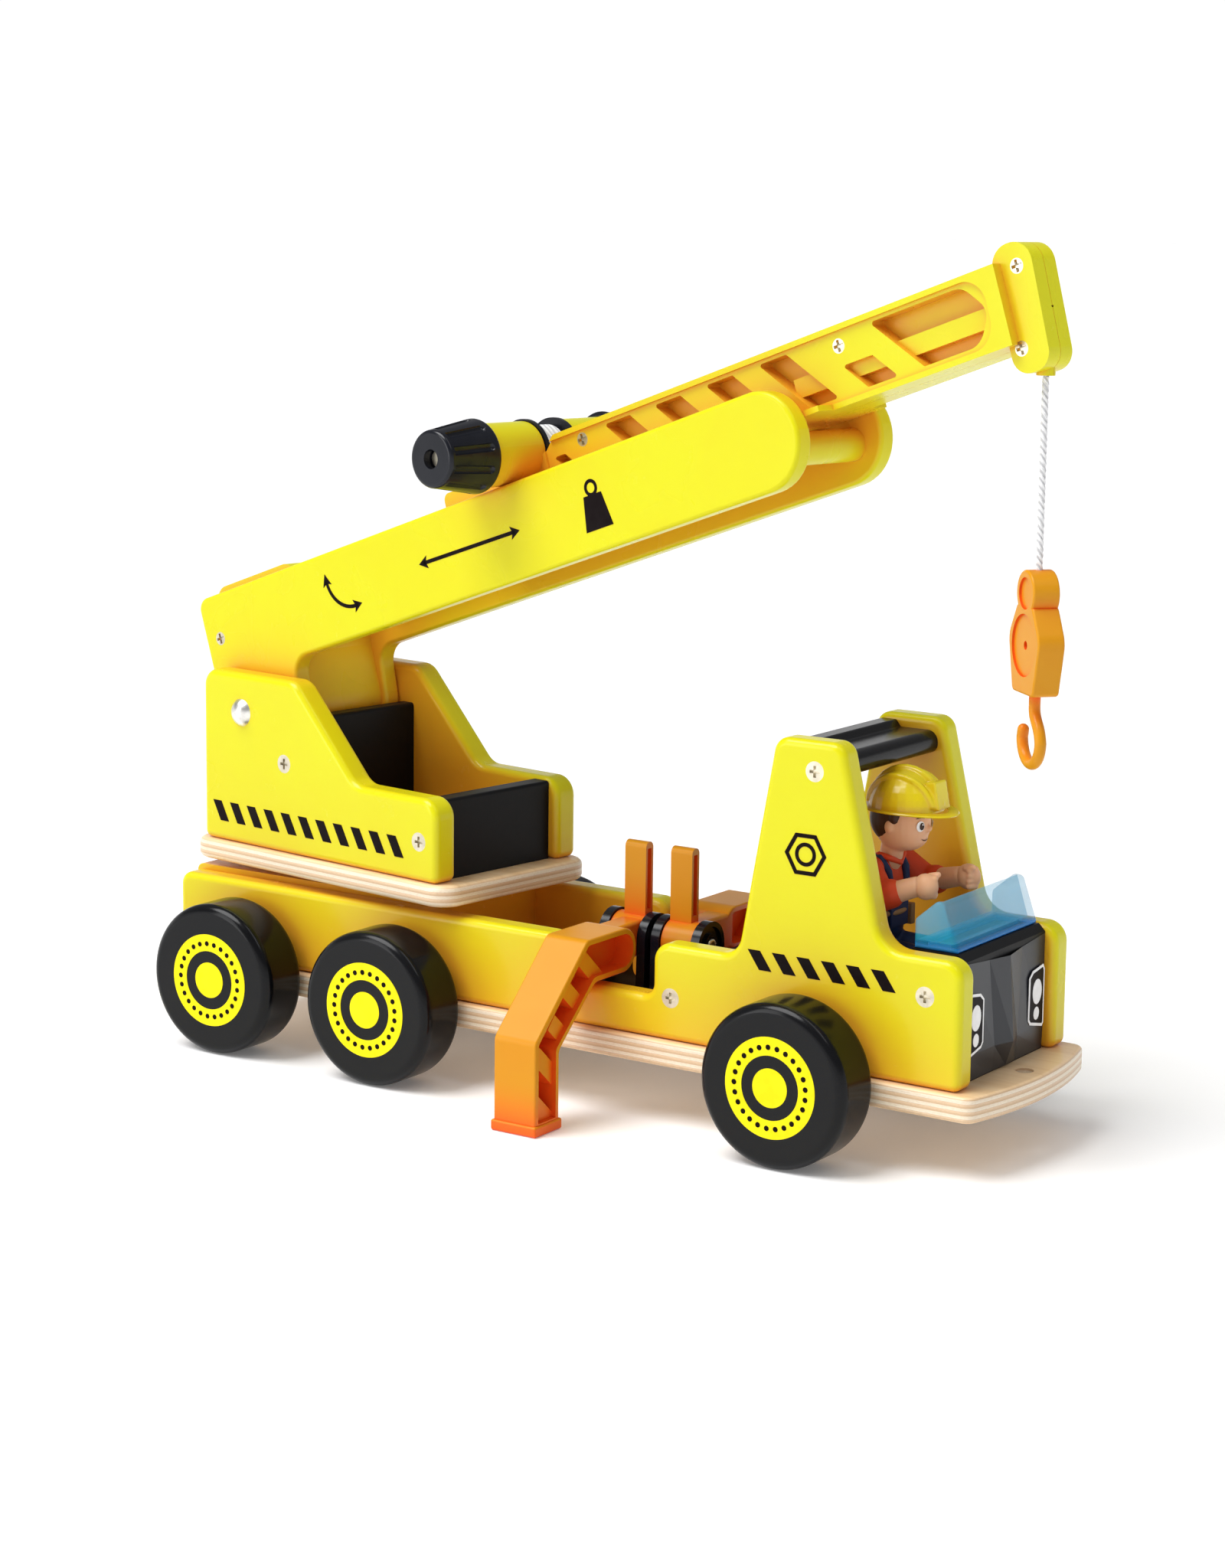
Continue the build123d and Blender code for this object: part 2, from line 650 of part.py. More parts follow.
def inner_shell(side):
    """One half of the telescoping boom, open at the middle plane."""
    y_mid = side * 0.1
    y0 = min(y_mid, side * INNER_HALF)
    y1 = max(y_mid, side * INNER_HALF)
    body = plate_xz(INNER_OUTLINE, y0, y1)
    face = [
        (168.0, INNER_LOW + 2.0, 1.0),
        (377.0, INNER_LOW + 2.0, 9.0),
        (377.0, INNER_HIGH - 2.0, 9.0),
        (168.0, INNER_HIGH - 2.0, 1.0),
    ]
    f0 = min(side * 9.8, side * 12.0)
    f1 = max(side * 9.8, side * 12.0)
    body = body - plate_xz(face, f0, f1)
    body = body - TRUSS_WINDOWS
    c0 = min(side * 2.6, side * 7.2)
    c1 = max(side * 2.6, side * 7.2)
    body = body + block(288.0, 378.0, c0, c1, 46.6, 53.4)
    r0 = min(side * (INNER_HALF - 1.0), side * RUNNER_HALF)
    r1 = max(side * (INNER_HALF - 1.0), side * RUNNER_HALF)
    body = body + block(INNER_REAR + 1, RUNNER_FRONT, r0, r1, INNER_LOW, INNER_LOW + 2.0)
    body = body + block(INNER_REAR + 1, 206.0, r0, r1, INNER_LOW, RUNNER_HIGH)
    n0 = min(y_mid, side * HEAD_HALF)
    n1 = max(y_mid, side * HEAD_HALF)
    head = plate_xz(HEAD_OUTLINE, n0, n1)
    g0 = min(side * -1.0, side * 3.4)
    g1 = max(side * -1.0, side * 3.4)
    head = head - block(370.0, 393.4, g0, g1, 40.0, 58.0)
    body = body + head
    for u, w in INNER_SCREWS:
        body = body - screw_space(u, w, 9.8, side, 2.6, 9.0)
        body = body + rod_y(u, w, 4.4, min(side * 0.1, side * 9.8), max(side * 0.1, side * 9.8))
        body = body - screw_space(u, w, 9.8, side, 2.6, 9.6)
    for u, w in HEAD_SCREWS:
        body = body - screw_space(u, w, HEAD_HALF, side, 2.6, 6.6)
    body = body - DRUM_SPACE
    collar0 = min(side * 9.4, side * COLLAR_END)
    collar1 = max(side * 9.4, side * COLLAR_END)
    body = body - rod_y(WINCH_U, WINCH_W, COLLAR_R, collar0, collar1)
    body = body - block(140.0, 393.4, -2.2, 2.2, 48.5, 54.0)
    outlet = ON_BOOM.inverse() * ON_TURRET * rod_z(CORD_X, 0, 3.2, CORD_EXIT_Z, CORD_EXIT_Z + 6.0)
    body = body + (outlet & block(370.0, 400.0, n0, n1, 20.0, 40.0))
    return body - cord_drop()


def cord_drop():
    """Passage of the cord down through the boom head."""
    exit_x = CORD_X - PIVOT_X
    lean = math.radians(BOOM_DEG)
    foot_u = exit_x * math.cos(lean) + (CORD_EXIT_Z - PIVOT_Z) * math.sin(lean)
    foot_w = -exit_x * math.sin(lean) + (CORD_EXIT_Z - PIVOT_Z) * math.cos(lean)
    return Pos(foot_u, 0, foot_w) * Rot(0, BOOM_DEG, 0) * Pos(0, 0, 8) * Cylinder(1.8, 30)


for name, half in both_sides(inner_shell).items():
    pieces["inner_boom_" + name] = ON_BOOM * half

inner_screws = []
for side in (-1, 1):
    for u, w in INNER_SCREWS:
        inner_screws.append(ON_BOOM * screw(u, w, 9.8, side, 2.6, 9.6))
    for u, w in HEAD_SCREWS:
        inner_screws.append(ON_BOOM * screw(u, w, HEAD_HALF, side, 2.6, 6.6))
pieces["inner_boom_screws"] = group(inner_screws)


def collar(side):
    """Bearing tube for the winch axle."""
    y0 = min(side * 9.4, side * COLLAR_END)
    y1 = max(side * 9.4, side * COLLAR_END)
    body = rod_y(WINCH_U, WINCH_W, COLLAR_R, y0, y1)
    return body - rod_y(WINCH_U, WINCH_W, WINCH_BORE_R, -60, 60)


pieces["winch_collars"] = ON_BOOM * group([collar(-1), collar(1)])


# ---- winch --------------------------------------------------------------------
pieces["winch_axle"] = ON_BOOM * rod_y(WINCH_U, WINCH_W, WINCH_AXLE_R, -54.0, 54.0)
drum = rod_y(WINCH_U, WINCH_W, 7.0, -DRUM_HALF, DRUM_HALF)
drum = drum + rod_y(WINCH_U, WINCH_W, FLANGE_R, -DRUM_HALF - 1.7, -DRUM_HALF)
drum = drum + rod_y(WINCH_U, WINCH_W, FLANGE_R, DRUM_HALF, DRUM_HALF + 1.7)
drum = drum - rod_y(WINCH_U, WINCH_W, WINCH_AXLE_R, -20, 20)
pieces["winch_drum"] = ON_BOOM * drum
winding = rod_y(WINCH_U, WINCH_W, WINDING_R, -DRUM_HALF, DRUM_HALF)
winding = winding - rod_y(WINCH_U, WINCH_W, 7.0, -20, 20)
pieces["cord_winding"] = ON_BOOM * winding

KNOB_RIBS = 10
FLUTE_R = 1.9


def knob(side):
    """Tapered hand knob with flutes."""
    length = KNOB_END - COLLAR_END - 0.3
    body = Cone(14.3, 10.6, length)
    body = fillet(body.edges(), 1.6)
    for k in range(KNOB_RIBS):
        turn = Rot(0, 0, 360.0 / KNOB_RIBS * k)
        lean = Pos(13.0, 0, 1.5) * Rot(0, -9, 0)
        flute = lean * Cylinder(FLUTE_R, length - 7.0)
        tip = lean * Pos(0, 0, -(length - 7.0) / 2) * Sphere(FLUTE_R)
        body = body - turn * flute - turn * tip
    body = body - Pos(0, 0, length / 2) * Cylinder(3.6, 9.0)
    body = body - Pos(0, 0, -4) * Cylinder(WINCH_AXLE_R, length)
    body = Rot(-90 * side, 0, 0) * body
    return Pos(WINCH_U, side * (COLLAR_END + 0.3 + length / 2), WINCH_W) * body


for name, grip in both_sides(knob).items():
    pieces["winch_knob_" + name] = ON_BOOM * grip


# ---- hoist cord and hook ------------------------------------------------------
def boom_point(u, w):
    """Point of the boom's middle plane, seen from the turntable axis."""
    lean = math.radians(BOOM_DEG)
    x = PIVOT_X + u * math.cos(lean) - w * math.sin(lean)
    z = PIVOT_Z + u * math.sin(lean) + w * math.cos(lean)
    return (x, 0, z)


RUN_W = WINCH_W - WINDING_R - CORD_R - 0.1


def cord_run():
    """Cord from the winding to the guide roller and down out of the head."""
    start = boom_point(WINCH_U, RUN_W)
    corner_lean = math.radians(BOOM_DEG)
    corner_u = (CORD_X - PIVOT_X + RUN_W * math.sin(corner_lean)) / math.cos(corner_lean)
    corner = boom_point(corner_u, RUN_W)
    end = (CORD_X, 0, CORD_EXIT_Z)
    path = FilletPolyline(start, corner, end, radius=ROLLER_R + CORD_R)
    section = Plane(origin=start, z_dir=path % 0) * Circle(CORD_R)
    return sweep(section, path=path)


pieces["hoist_cord_run"] = ON_TURRET * cord_run()


def roller():
    """Guide roller in the boom head."""
    lean = math.radians(BOOM_DEG)
    x = CORD_X - ROLLER_R - CORD_R
    corner = boom_point(0, RUN_W - ROLLER_R - CORD_R)
    u = (x - corner[0]) / math.cos(lean)
    body = rod_y(u, RUN_W - ROLLER_R - CORD_R, ROLLER_R, -3.4, 3.4)
    return ON_BOOM * body


pieces["cord_guide_roller"] = roller()

hanging = rod_z(CORD_X, 0, CORD_R, HOOK_TOP_Z - 3.0, CORD_EXIT_Z - 0.3)
pieces["hoist_cord_hanging"] = ON_TURRET * hanging

ON_HOOK = ON_TURRET * Pos(CORD_X, 0, HOOK_TOP_Z) * Rot(0, 0, HOOK_TWIST)
HOOK_HALF = 4.8


def hook_block():
    """Orange block with a round eye above and a sheave cover below."""
    cheek = [
        (-14.2, -23.0, 8.0),
        (-9.4, -41.8, 2.0),
        (9.4, -41.8, 2.0),
        (14.2, -23.0, 8.0),
        (7.0, -12.0, 2.0),
        (-7.0, -12.0, 2.0),
    ]
    body = plate_xz(cheek, -HOOK_HALF, HOOK_HALF, 0.8)
    eye = rod_y(0, -7.9, 7.9, -HOOK_HALF, HOOK_HALF)
    body = body + fillet(eye.faces().filter_by(Axis.Y).edges(), 0.8)
    for side in (-1, 1):
        face = side * HOOK_HALF
        body = body - rod_y(0, -25.4, 10.6, face - 0.8, face + 0.8)
        body = body - rod_y(0, -7.9, 5.4, face - 0.8, face + 0.8)
        body = body - rod_y(0, -25.4, 1.5, face - 2.6, face + 2.6)
    return body - rod_z(0, 0, CORD_R + 0.05, -3.05, 1.0) - rod_z(0, 0, 2.0, -45.0, -35.0)


def hook():
    """Round-section hook."""
    shank = Line((0, 0, -35.0), (0, 0, -46.0))
    sway = Spline(
        (0, 0, -46.0), (3.2, 0, -52.0), (6.4, 0, -58.0), tangents=[(0, 0, -1), (0.18, 0, -1)]
    )
    bow = ThreePointArc((6.4, 0, -58.0), (-1.9, 0, -66.0), (-10.2, 0, -58.0))
    tail = Line((-10.2, 0, -58.0), (-9.6, 0, -55.5))
    body = Part()
    body = body + sweep(Plane(origin=(0, 0, -35.0), z_dir=(0, 0, -1)) * Circle(2.0), path=shank)
    body = body + sweep(Plane(origin=(0, 0, -46.0), z_dir=(0, 0, -1)) * Circle(2.0), path=sway)
    body = body + sweep(Plane(origin=(6.4, 0, -58.0), z_dir=bow % 0) * Circle(2.0), path=bow)
    body = body + sweep(Plane(origin=(-10.2, 0, -58.0), z_dir=tail % 0) * Circle(2.0), path=tail)
    body = body + Pos(0, 0, -46.0) * Sphere(2.0)
    body = body + Pos(6.4, 0, -58.0) * Sphere(2.0)
    body = body + Pos(-10.2, 0, -58.0) * Sphere(2.0)
    return body + Pos(-9.6, 0, -55.5) * Sphere(2.0)


pieces["hook_block"] = ON_HOOK * hook_block()
pieces["hook"] = ON_HOOK * hook()


# ---- driver figure ------------------------------------------------------------
SEAT_X = 262.5


def tube_between(a, b, r):
    """Round-ended limb."""
    start = Vector(*a)
    run = Vector(*b) - start
    body = Plane(origin=a, z_dir=run) * (Pos(0, 0, run.length / 2) * Cylinder(r, run.length))
    return body + Pos(*a) * Sphere(r) + Pos(*b) * Sphere(r)


def figure_legs():
    """Trousers: hips, thighs and shins."""
    body = Pos(SEAT_X, 0, 68.2) * Box(14.0, 22.0, 12.0)
    body = fillet(body.edges(), 3.0)
    for side in (-1, 1):
        hip = (SEAT_X + 2.0, side * 6.2, 67.6)
        knee = (282.5, side * 7.4, 67.6)
        ankle = (283.5, side * 7.4, 38.5)
        body = body + tube_between(hip, knee, 5.2) + tube_between(knee, ankle, 4.6)
    return body


def figure_shoes():
    """Pair of boots."""
    shoes = []
    for side in (-1, 1):
        boot = Pos(285.0, side * 7.4, 34.9) * Box(14.0, 9.0, 6.4)
        boot = fillet(boot.edges().filter_by(Axis.Z), 3.0)
        ankle = tube_between((283.5, side * 7.4, 38.5), (283.5, side * 7.4, 60.0), 4.6)
        shoes.append(boot - ankle)
    return group(shoes)


def figure_torso():
    """Upper body."""
    body = Pos(SEAT_X + 1.0, 0, 89.0) * Box(13.0, 21.0, 29.4)
    return fillet(body.edges(), 4.0)


def figure_arms():
    """Sleeves and bare forearms reaching forward."""
    arms = []
    for side, reach in ((-1, 288.0), (1, 292.0)):
        shoulder = (SEAT_X + 2.5, side * 15.2, 98.0)
        elbow = (SEAT_X + 9.5, side * 17.4, 90.5)
        wrist = (reach - 3.0, side * 12.8, 95.6)
        arms.append(tube_between(shoulder, elbow, 4.4) + tube_between(elbow, wrist, 3.7))
    return group(arms)


def figure_hands():
    """Two closed fists."""
    hands = []
    for side, reach in ((-1, 288.0), (1, 292.0)):
        elbow = (SEAT_X + 9.5, side * 17.4, 90.5)
        wrist = (reach - 3.0, side * 12.8, 95.6)
        fist = Pos(reach + 1.4, side * 12.2, 96.0) * Box(9.0, 8.4, 9.6)
        fist = fillet(fist.edges(), 2.6)
        hands.append(fist - tube_between(elbow, wrist, 3.7))
    return group(hands)


HEAD_AT = (271.5, 0, 116.0)


def figure_head():
    """Round doll head with a short neck."""
    body = Pos(*HEAD_AT) * scale(Sphere(11.0), by=(0.98, 0.92, 1.0))
    neck = rod_z(267.0, 0, 4.4, 103.8, 112.0)
    return body + neck


def figure_helmet():
    """Hard hat with a brim and a crest."""
    dome = Pos(HEAD_AT[0] + 1.5, 0, 121.0) * scale(Sphere(14.0), by=(1.02, 0.96, 1.12))
    dome = dome & block(250, 292, -20, 20, 121.0, 145.0)
    brim = Pos(HEAD_AT[0] + 3.5, 0, 121.8) * scale(Cylinder(16.6, 1.6), by=(1.06, 0.92, 1.0))
    crest_outline = [
        (262.0, 121.0, 0),
        (286.5, 121.0, 0),
        (283.5, 134.0, 5.0),
        (273.0, 138.4, 6.0),
        (264.5, 133.0, 5.0),
    ]
    crest = plate_xz(crest_outline, -1.6, 1.6)
    badge = Box(2.4, 9.0, 13.0)
    badge = Pos(286.4, 0, 128.6) * Rot(0, -14, 0) * fillet(badge.edges().filter_by(Axis.X), 1.4)
    shell = dome + brim + crest + badge
    return shell - Pos(*HEAD_AT) * scale(Sphere(11.0), by=(0.98, 0.92, 1.0))


legs = figure_legs()
torso = figure_torso()
head = figure_head()
pieces["driver_trousers"] = legs - torso
pieces["driver_boots"] = figure_shoes()
pieces["driver_shirt"] = torso
pieces["driver_arms"] = figure_arms()
pieces["driver_hands"] = figure_hands()
pieces["driver_head"] = head
pieces["driver_helmet"] = figure_helmet()

for name, body in pieces.items():
    export_step(Pos(-ORIGIN_X, 0, 0) * body, "parts/" + name + ".step")
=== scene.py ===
import bmesh
import bpy
import math
from mathutils import Matrix, Vector


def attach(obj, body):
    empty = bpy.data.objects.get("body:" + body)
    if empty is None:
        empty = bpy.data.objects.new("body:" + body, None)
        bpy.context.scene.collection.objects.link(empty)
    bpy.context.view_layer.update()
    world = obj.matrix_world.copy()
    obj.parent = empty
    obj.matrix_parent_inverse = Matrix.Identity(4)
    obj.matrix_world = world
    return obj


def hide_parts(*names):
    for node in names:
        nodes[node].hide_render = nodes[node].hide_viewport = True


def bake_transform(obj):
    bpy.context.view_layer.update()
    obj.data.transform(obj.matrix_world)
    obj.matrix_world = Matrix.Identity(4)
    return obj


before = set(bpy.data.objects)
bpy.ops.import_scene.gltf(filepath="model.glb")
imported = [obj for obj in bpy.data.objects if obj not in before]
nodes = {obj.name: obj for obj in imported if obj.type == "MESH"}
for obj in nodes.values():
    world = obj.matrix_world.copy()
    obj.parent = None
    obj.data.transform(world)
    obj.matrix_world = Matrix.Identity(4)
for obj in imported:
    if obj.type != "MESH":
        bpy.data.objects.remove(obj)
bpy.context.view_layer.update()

# ---- frames: millimetres in each local frame, metres in the scene ---------------
TRUCK = Matrix.Translation((-0.1497, 0, 0)) @ Matrix.Scale(0.001, 4)
TURRET = TRUCK @ Matrix.Translation((35.0, 0, 0)) @ Matrix.Rotation(math.radians(-7.76), 4, "Z")
BOOM = TURRET @ Matrix.Translation((-44.2, 0, 130.9)) @ Matrix.Rotation(math.radians(-18.9), 4, "Y")
CORD_LINE = TURRET @ Matrix.Translation((312.0, 0, 0))


# ---- camera, floor and light ------------------------------------------------------
IMAGE_WIDTH = 1600
SENSOR_WIDTH = 36.0
FOCAL_LENGTH = 4050.4 * SENSOR_WIDTH / IMAGE_WIDTH
CAMERA_PLACE = Vector((0.656106, -0.966396, 0.332162))


def add_camera():
    """Camera at the viewing angle of the picture, with a small shift for its framing."""
    azimuth = math.radians(32.415)
    elevation = math.radians(9.296)
    roll = math.radians(1.0)
    back = Vector((
        math.sin(azimuth) * math.cos(elevation),
        -math.cos(azimuth) * math.cos(elevation),
        math.sin(elevation),
    ))
    right = (-back).cross(Vector((0, 0, 1))).normalized()
    up = right.cross(-back)
    tilted_right = right * math.cos(roll) + up * math.sin(roll)
    tilted_up = up * math.cos(roll) - right * math.sin(roll)
    data = bpy.data.cameras.new("camera")
    data.sensor_fit = "HORIZONTAL"
    data.sensor_width = SENSOR_WIDTH
    data.lens = FOCAL_LENGTH
    data.shift_x = -139.3 / IMAGE_WIDTH
    data.shift_y = -83.5 / IMAGE_WIDTH
    data.clip_start = 0.05
    camera = bpy.data.objects.new("camera", data)
    turn = Matrix((tilted_right, tilted_up, back)).transposed().to_4x4()
    camera.matrix_world = Matrix.Translation(CAMERA_PLACE) @ turn
    bpy.context.scene.collection.objects.link(camera)
    bpy.context.scene.camera = camera


def add_area(name, place, target, size, power, colour):
    data = bpy.data.lights.new(name, "AREA")
    data.shape = "RECTANGLE"
    data.size = size[0]
    data.size_y = size[1]
    data.energy = power
    data.color = colour
    light = bpy.data.objects.new(name, data)
    light.location = place
    light.rotation_euler = (Vector(target) - Vector(place)).to_track_quat("-Z", "Y").to_euler()
    bpy.context.scene.collection.objects.link(light)


def add_studio():
    world = bpy.data.worlds.new("studio")
    world.use_nodes = True
    tree = world.node_tree
    place = tree.nodes.new("ShaderNodeTexCoord")
    split = tree.nodes.new("ShaderNodeSeparateXYZ")
    ramp = tree.nodes.new("ShaderNodeValToRGB")
    tree.links.new(place.outputs["Generated"], split.inputs["Vector"])
    tree.links.new(split.outputs["Z"], ramp.inputs["Fac"])
    tree.links.new(ramp.outputs["Color"], tree.nodes["Background"].inputs["Color"])
    ramp.color_ramp.elements[0].position = 0.13
    ramp.color_ramp.elements[0].color = (1, 1, 1, 1)
    ramp.color_ramp.elements[1].position = 0.30
    ramp.color_ramp.elements[1].color = (0.27, 0.27, 0.28, 1)
    tree.nodes["Background"].inputs["Strength"].default_value = 1.02
    bpy.context.scene.world = world
    sun_data = bpy.data.lights.new("soft_sun", "SUN")
    sun_data.energy = 2.9
    sun_data.angle = math.radians(38)
    sun = bpy.data.objects.new("soft_sun", sun_data)
    sun.rotation_euler = Vector((0.42, 0.55, -1.25)).to_track_quat("-Z", "Y").to_euler()
    bpy.context.scene.collection.objects.link(sun)
    add_area("side", (-0.75, -1.25, 0.55), (0.0, 0, 0.14), (0.5, 0.9), 5.0, (1, 1, 1))
    add_area("strip", (0.55, -0.2, 1.2), (0.05, 0, 0.12), (0.25, 0.9), 2.0, (1, 1, 1))
    bpy.context.scene.view_settings.view_transform = "Standard"


# ---- node materials -----------------------------------------------------------------
class Look:
    """One procedural material, with short calls to add and join its nodes."""

    def __init__(self, name):
        self.material = bpy.data.materials.new(name)
        self.material.use_nodes = True
        self.tree = self.material.node_tree
        self.shader = self.tree.nodes["Principled BSDF"]
        self.place = self.node("ShaderNodeTexCoord").outputs["Object"]

    def node(self, kind, **values):
        made = self.tree.nodes.new(kind)
        for key, value in values.items():
            setattr(made, key, value)
        return made

    def join(self, source, socket):
        self.tree.links.new(source, socket)

    def stretched(self, scale):
        mapping = self.node("ShaderNodeMapping")
        mapping.inputs["Scale"].default_value = scale
        self.join(self.place, mapping.inputs["Vector"])
        return mapping.outputs["Vector"]

    def noise(self, scale, detail=3.0, rough=0.5, vector=None, bend=0.0):
        made = self.node("ShaderNodeTexNoise")
        made.inputs["Scale"].default_value = scale
        made.inputs["Detail"].default_value = detail
        made.inputs["Roughness"].default_value = rough
        made.inputs["Distortion"].default_value = bend
        self.join(vector or self.place, made.inputs["Vector"])
        return made.outputs["Fac"]

    def ramp(self, factor, stops):
        made = self.node("ShaderNodeValToRGB")
        while len(made.color_ramp.elements) < len(stops):
            made.color_ramp.elements.new(0.5)
        for element, (position, colour) in zip(made.color_ramp.elements, stops):
            element.position = position
            element.color = colour if len(colour) == 4 else (*colour, 1)
        self.join(factor, made.inputs["Fac"])
        return made.outputs["Color"]

    def span(self, factor, low, high, start=0.0, end=1.0):
        made = self.node("ShaderNodeMapRange")
        made.inputs["From Min"].default_value = start
        made.inputs["From Max"].default_value = end
        made.inputs["To Min"].default_value = low
        made.inputs["To Max"].default_value = high
        self.join(factor, made.inputs["Value"])
        return made.outputs["Result"]

    def mix(self, factor, first, second):
        made = self.node("ShaderNodeMix", data_type="RGBA")
        for value, key in ((factor, 0), (first, 6), (second, 7)):
            if isinstance(value, bpy.types.NodeSocket):
                self.join(value, made.inputs[key])
            elif key == 0:
                made.inputs[key].default_value = value
            else:
                made.inputs[key].default_value = (*value, 1)
        return made.outputs[2]

    def maths(self, kind, first, second=0.0):
        made = self.node("ShaderNodeMath", operation=kind)
        for value, key in ((first, 0), (second, 1)):
            if isinstance(value, bpy.types.NodeSocket):
                self.join(value, made.inputs[key])
            else:
                made.inputs[key].default_value = value
        return made.outputs["Value"]

    def axis(self, letter):
        split = self.node("ShaderNodeSeparateXYZ")
        self.join(self.place, split.inputs["Vector"])
        return split.outputs[letter]

    def bump(self, height, depth, strength=1.0, under=None):
        made = self.node("ShaderNodeBump")
        made.inputs["Distance"].default_value = depth
        made.inputs["Strength"].default_value = strength
        self.join(height, made.inputs["Height"])
        if under is not None:
            self.join(under, made.inputs["Normal"])
        return made.outputs["Normal"]

    def painted_corner_shade(self, source, tint, reach, closed):
        """Painted shade: let a colour drift to a deeper tint where ambient occlusion finds faces crowding
        together.
        """
        made = self.node("ShaderNodeAmbientOcclusion", samples=6)
        made.inputs["Distance"].default_value = reach
        return self.mix(self.span(made.outputs["AO"], 0.9, 0.0, closed, 0.95), source, tint)

    def colour(self, source):
        self.join(source, self.shader.inputs["Base Color"])

    def rough(self, source):
        self.join(source, self.shader.inputs["Roughness"])

    def normal(self, source):
        self.join(source, self.shader.inputs["Normal"])

    def fixed(self, **values):
        for key, value in values.items():
            self.shader.inputs[key.replace("_", " ")].default_value = value


def painted_wood(name, main, deep, low=0.2, high=0.32, coat=0.35, gloss=0.3, shade=None):
    """Glossy paint over sanded wood, with a faint grain and painted shade: a deeper tint in the corners."""
    look = Look(name)
    patches = look.noise(22.0, 4.0)
    grain = look.noise(1.0, 5.0, 0.6, look.stretched((26.0, 420.0, 420.0)), 0.3)
    peel = look.noise(650.0, 2.0)
    scuff = look.noise(95.0, 8.0, 0.7)
    worn = look.ramp(scuff, [(0.62, (0, 0, 0)), (0.74, (1, 1, 1))])
    base = look.mix(look.span(patches, 0.0, 0.5, 0.35, 0.7), main, deep)
    streaked = look.mix(look.span(grain, 0.0, 0.16, 0.5, 0.75), base, deep)
    # Painted shade: where ambient occlusion finds faces close by, the colour turns toward the shade tint.
    look.colour(look.painted_corner_shade(streaked, shade, 0.07, 0.36) if shade else streaked)
    look.rough(look.maths("ADD", look.span(patches, low, high), look.maths("MULTIPLY", worn, 0.07)))
    fine = look.bump(peel, 0.00002, 0.5)
    look.normal(look.bump(grain, 0.00005, 0.5, fine))
    look.fixed(Coat_Weight=coat, Coat_Roughness=0.12, IOR=1.5, Specular_IOR_Level=gloss)
    return look.material


def moulded(
    name, main, deep, low=0.24, high=0.36, sheen_through=0.0, shade=None, gloss=0.3, reach=0.05, closed=0.34
):
    """Injection-moulded plastic with soft flow marks and a fine spark-eroded skin."""
    look = Look(name)
    flow = look.noise(30.0, 3.0, 0.5, None, 0.8)
    skin = look.noise(1500.0, 2.0)
    rub = look.noise(120.0, 9.0, 0.72)
    rubbed = look.ramp(rub, [(0.6, (0, 0, 0)), (0.72, (1, 1, 1))])
    base = look.mix(look.span(flow, 0.0, 0.55, 0.35, 0.7), main, deep)
    # Painted shade: where ambient occlusion finds faces close by, the colour turns toward the shade tint.
    look.colour(look.painted_corner_shade(base, shade, reach, closed) if shade else base)
    look.rough(look.maths("ADD", look.span(flow, low, high), look.maths("MULTIPLY", rubbed, 0.06)))
    look.normal(look.bump(skin, 0.000014, 0.45))
    look.fixed(IOR=1.49, Specular_IOR_Level=gloss)
    if sheen_through:
        look.fixed(
            Subsurface_Weight=sheen_through, Subsurface_Scale=0.004, Subsurface_Radius=(1.0, 0.55, 0.15)
        )
    return look.material


VENEER_PAIR = 0.00268


def plywood(name):
    """Clear-lacquered birch ply: long grain on the faces and stacked veneers on the edges."""
    look = Look(name)
    grain = look.noise(1.0, 8.0, 0.62, look.stretched((14.0, 260.0, 40.0)), 0.6)
    pores = look.noise(1.0, 4.0, 0.7, look.stretched((90.0, 2200.0, 900.0)))
    broad = look.noise(9.0, 3.0)
    face = look.ramp(grain, [
        (0.30, (0.72, 0.47, 0.24)),
        (0.52, (0.86, 0.63, 0.38)),
        (0.75, (0.92, 0.74, 0.50)),
    ])
    flecked = look.mix(look.span(pores, 0.0, 0.45, 0.56, 0.8), face, (0.50, 0.27, 0.11))
    toned = look.mix(look.span(broad, 0.0, 0.35, 0.4, 0.7), flecked, (0.88, 0.60, 0.33))
    height = look.maths("ADD", look.axis("Z"), look.maths("MULTIPLY", look.noise(16.0, 2.0), 0.0006))
    layer = look.maths("FRACT", look.maths("MULTIPLY", height, 1 / VENEER_PAIR))
    veneer = look.ramp(layer, [
        (0.0, (0.55, 0.36, 0.20)),
        (0.07, (0.84, 0.73, 0.57)),
        (0.47, (0.81, 0.69, 0.52)),
        (0.54, (0.60, 0.40, 0.23)),
        (0.93, (0.76, 0.55, 0.35)),
    ])
    fibre = look.noise(1.0, 3.0, 0.6, look.stretched((900.0, 900.0, 3600.0)))
    edge = look.mix(look.span(fibre, 0.0, 0.30, 0.45, 0.75), veneer, (0.46, 0.28, 0.14))
    split = look.node("ShaderNodeSeparateXYZ")
    look.join(look.tree.nodes["Texture Coordinate"].outputs["Normal"], split.inputs["Vector"])
    upright = look.maths("ABSOLUTE", split.outputs["Z"])
    look.colour(look.mix(look.span(upright, 0.0, 1.0, 0.55, 0.85), edge, toned))
    look.rough(look.span(grain, 0.30, 0.46))
    look.normal(look.bump(pores, 0.00004, 0.5, look.bump(layer, 0.00005, 0.3)))
    look.fixed(Coat_Weight=0.25, Coat_Roughness=0.25)
    return look.material


def steel(name, tone, low, high, turned=False):
    """Plated metal with fine tool marks and slight tarnish."""
    look = Look(name)
    scale = (2600.0, 900.0, 2600.0) if turned else (1800.0, 1800.0, 600.0)
    marks = look.noise(1.0, 3.0, 0.6, look.stretched(scale))
    dull = look.noise(260.0, 5.0, 0.6)
    darker = tuple(c * 0.62 for c in tone)
    look.colour(look.mix(look.span(dull, 0.0, 0.8, 0.42, 0.72), tone, darker))
    look.rough(look.span(marks, low, high))
    look.normal(look.bump(marks, 0.00001, 0.4))
    look.fixed(Metallic=1.0)
    return look.material


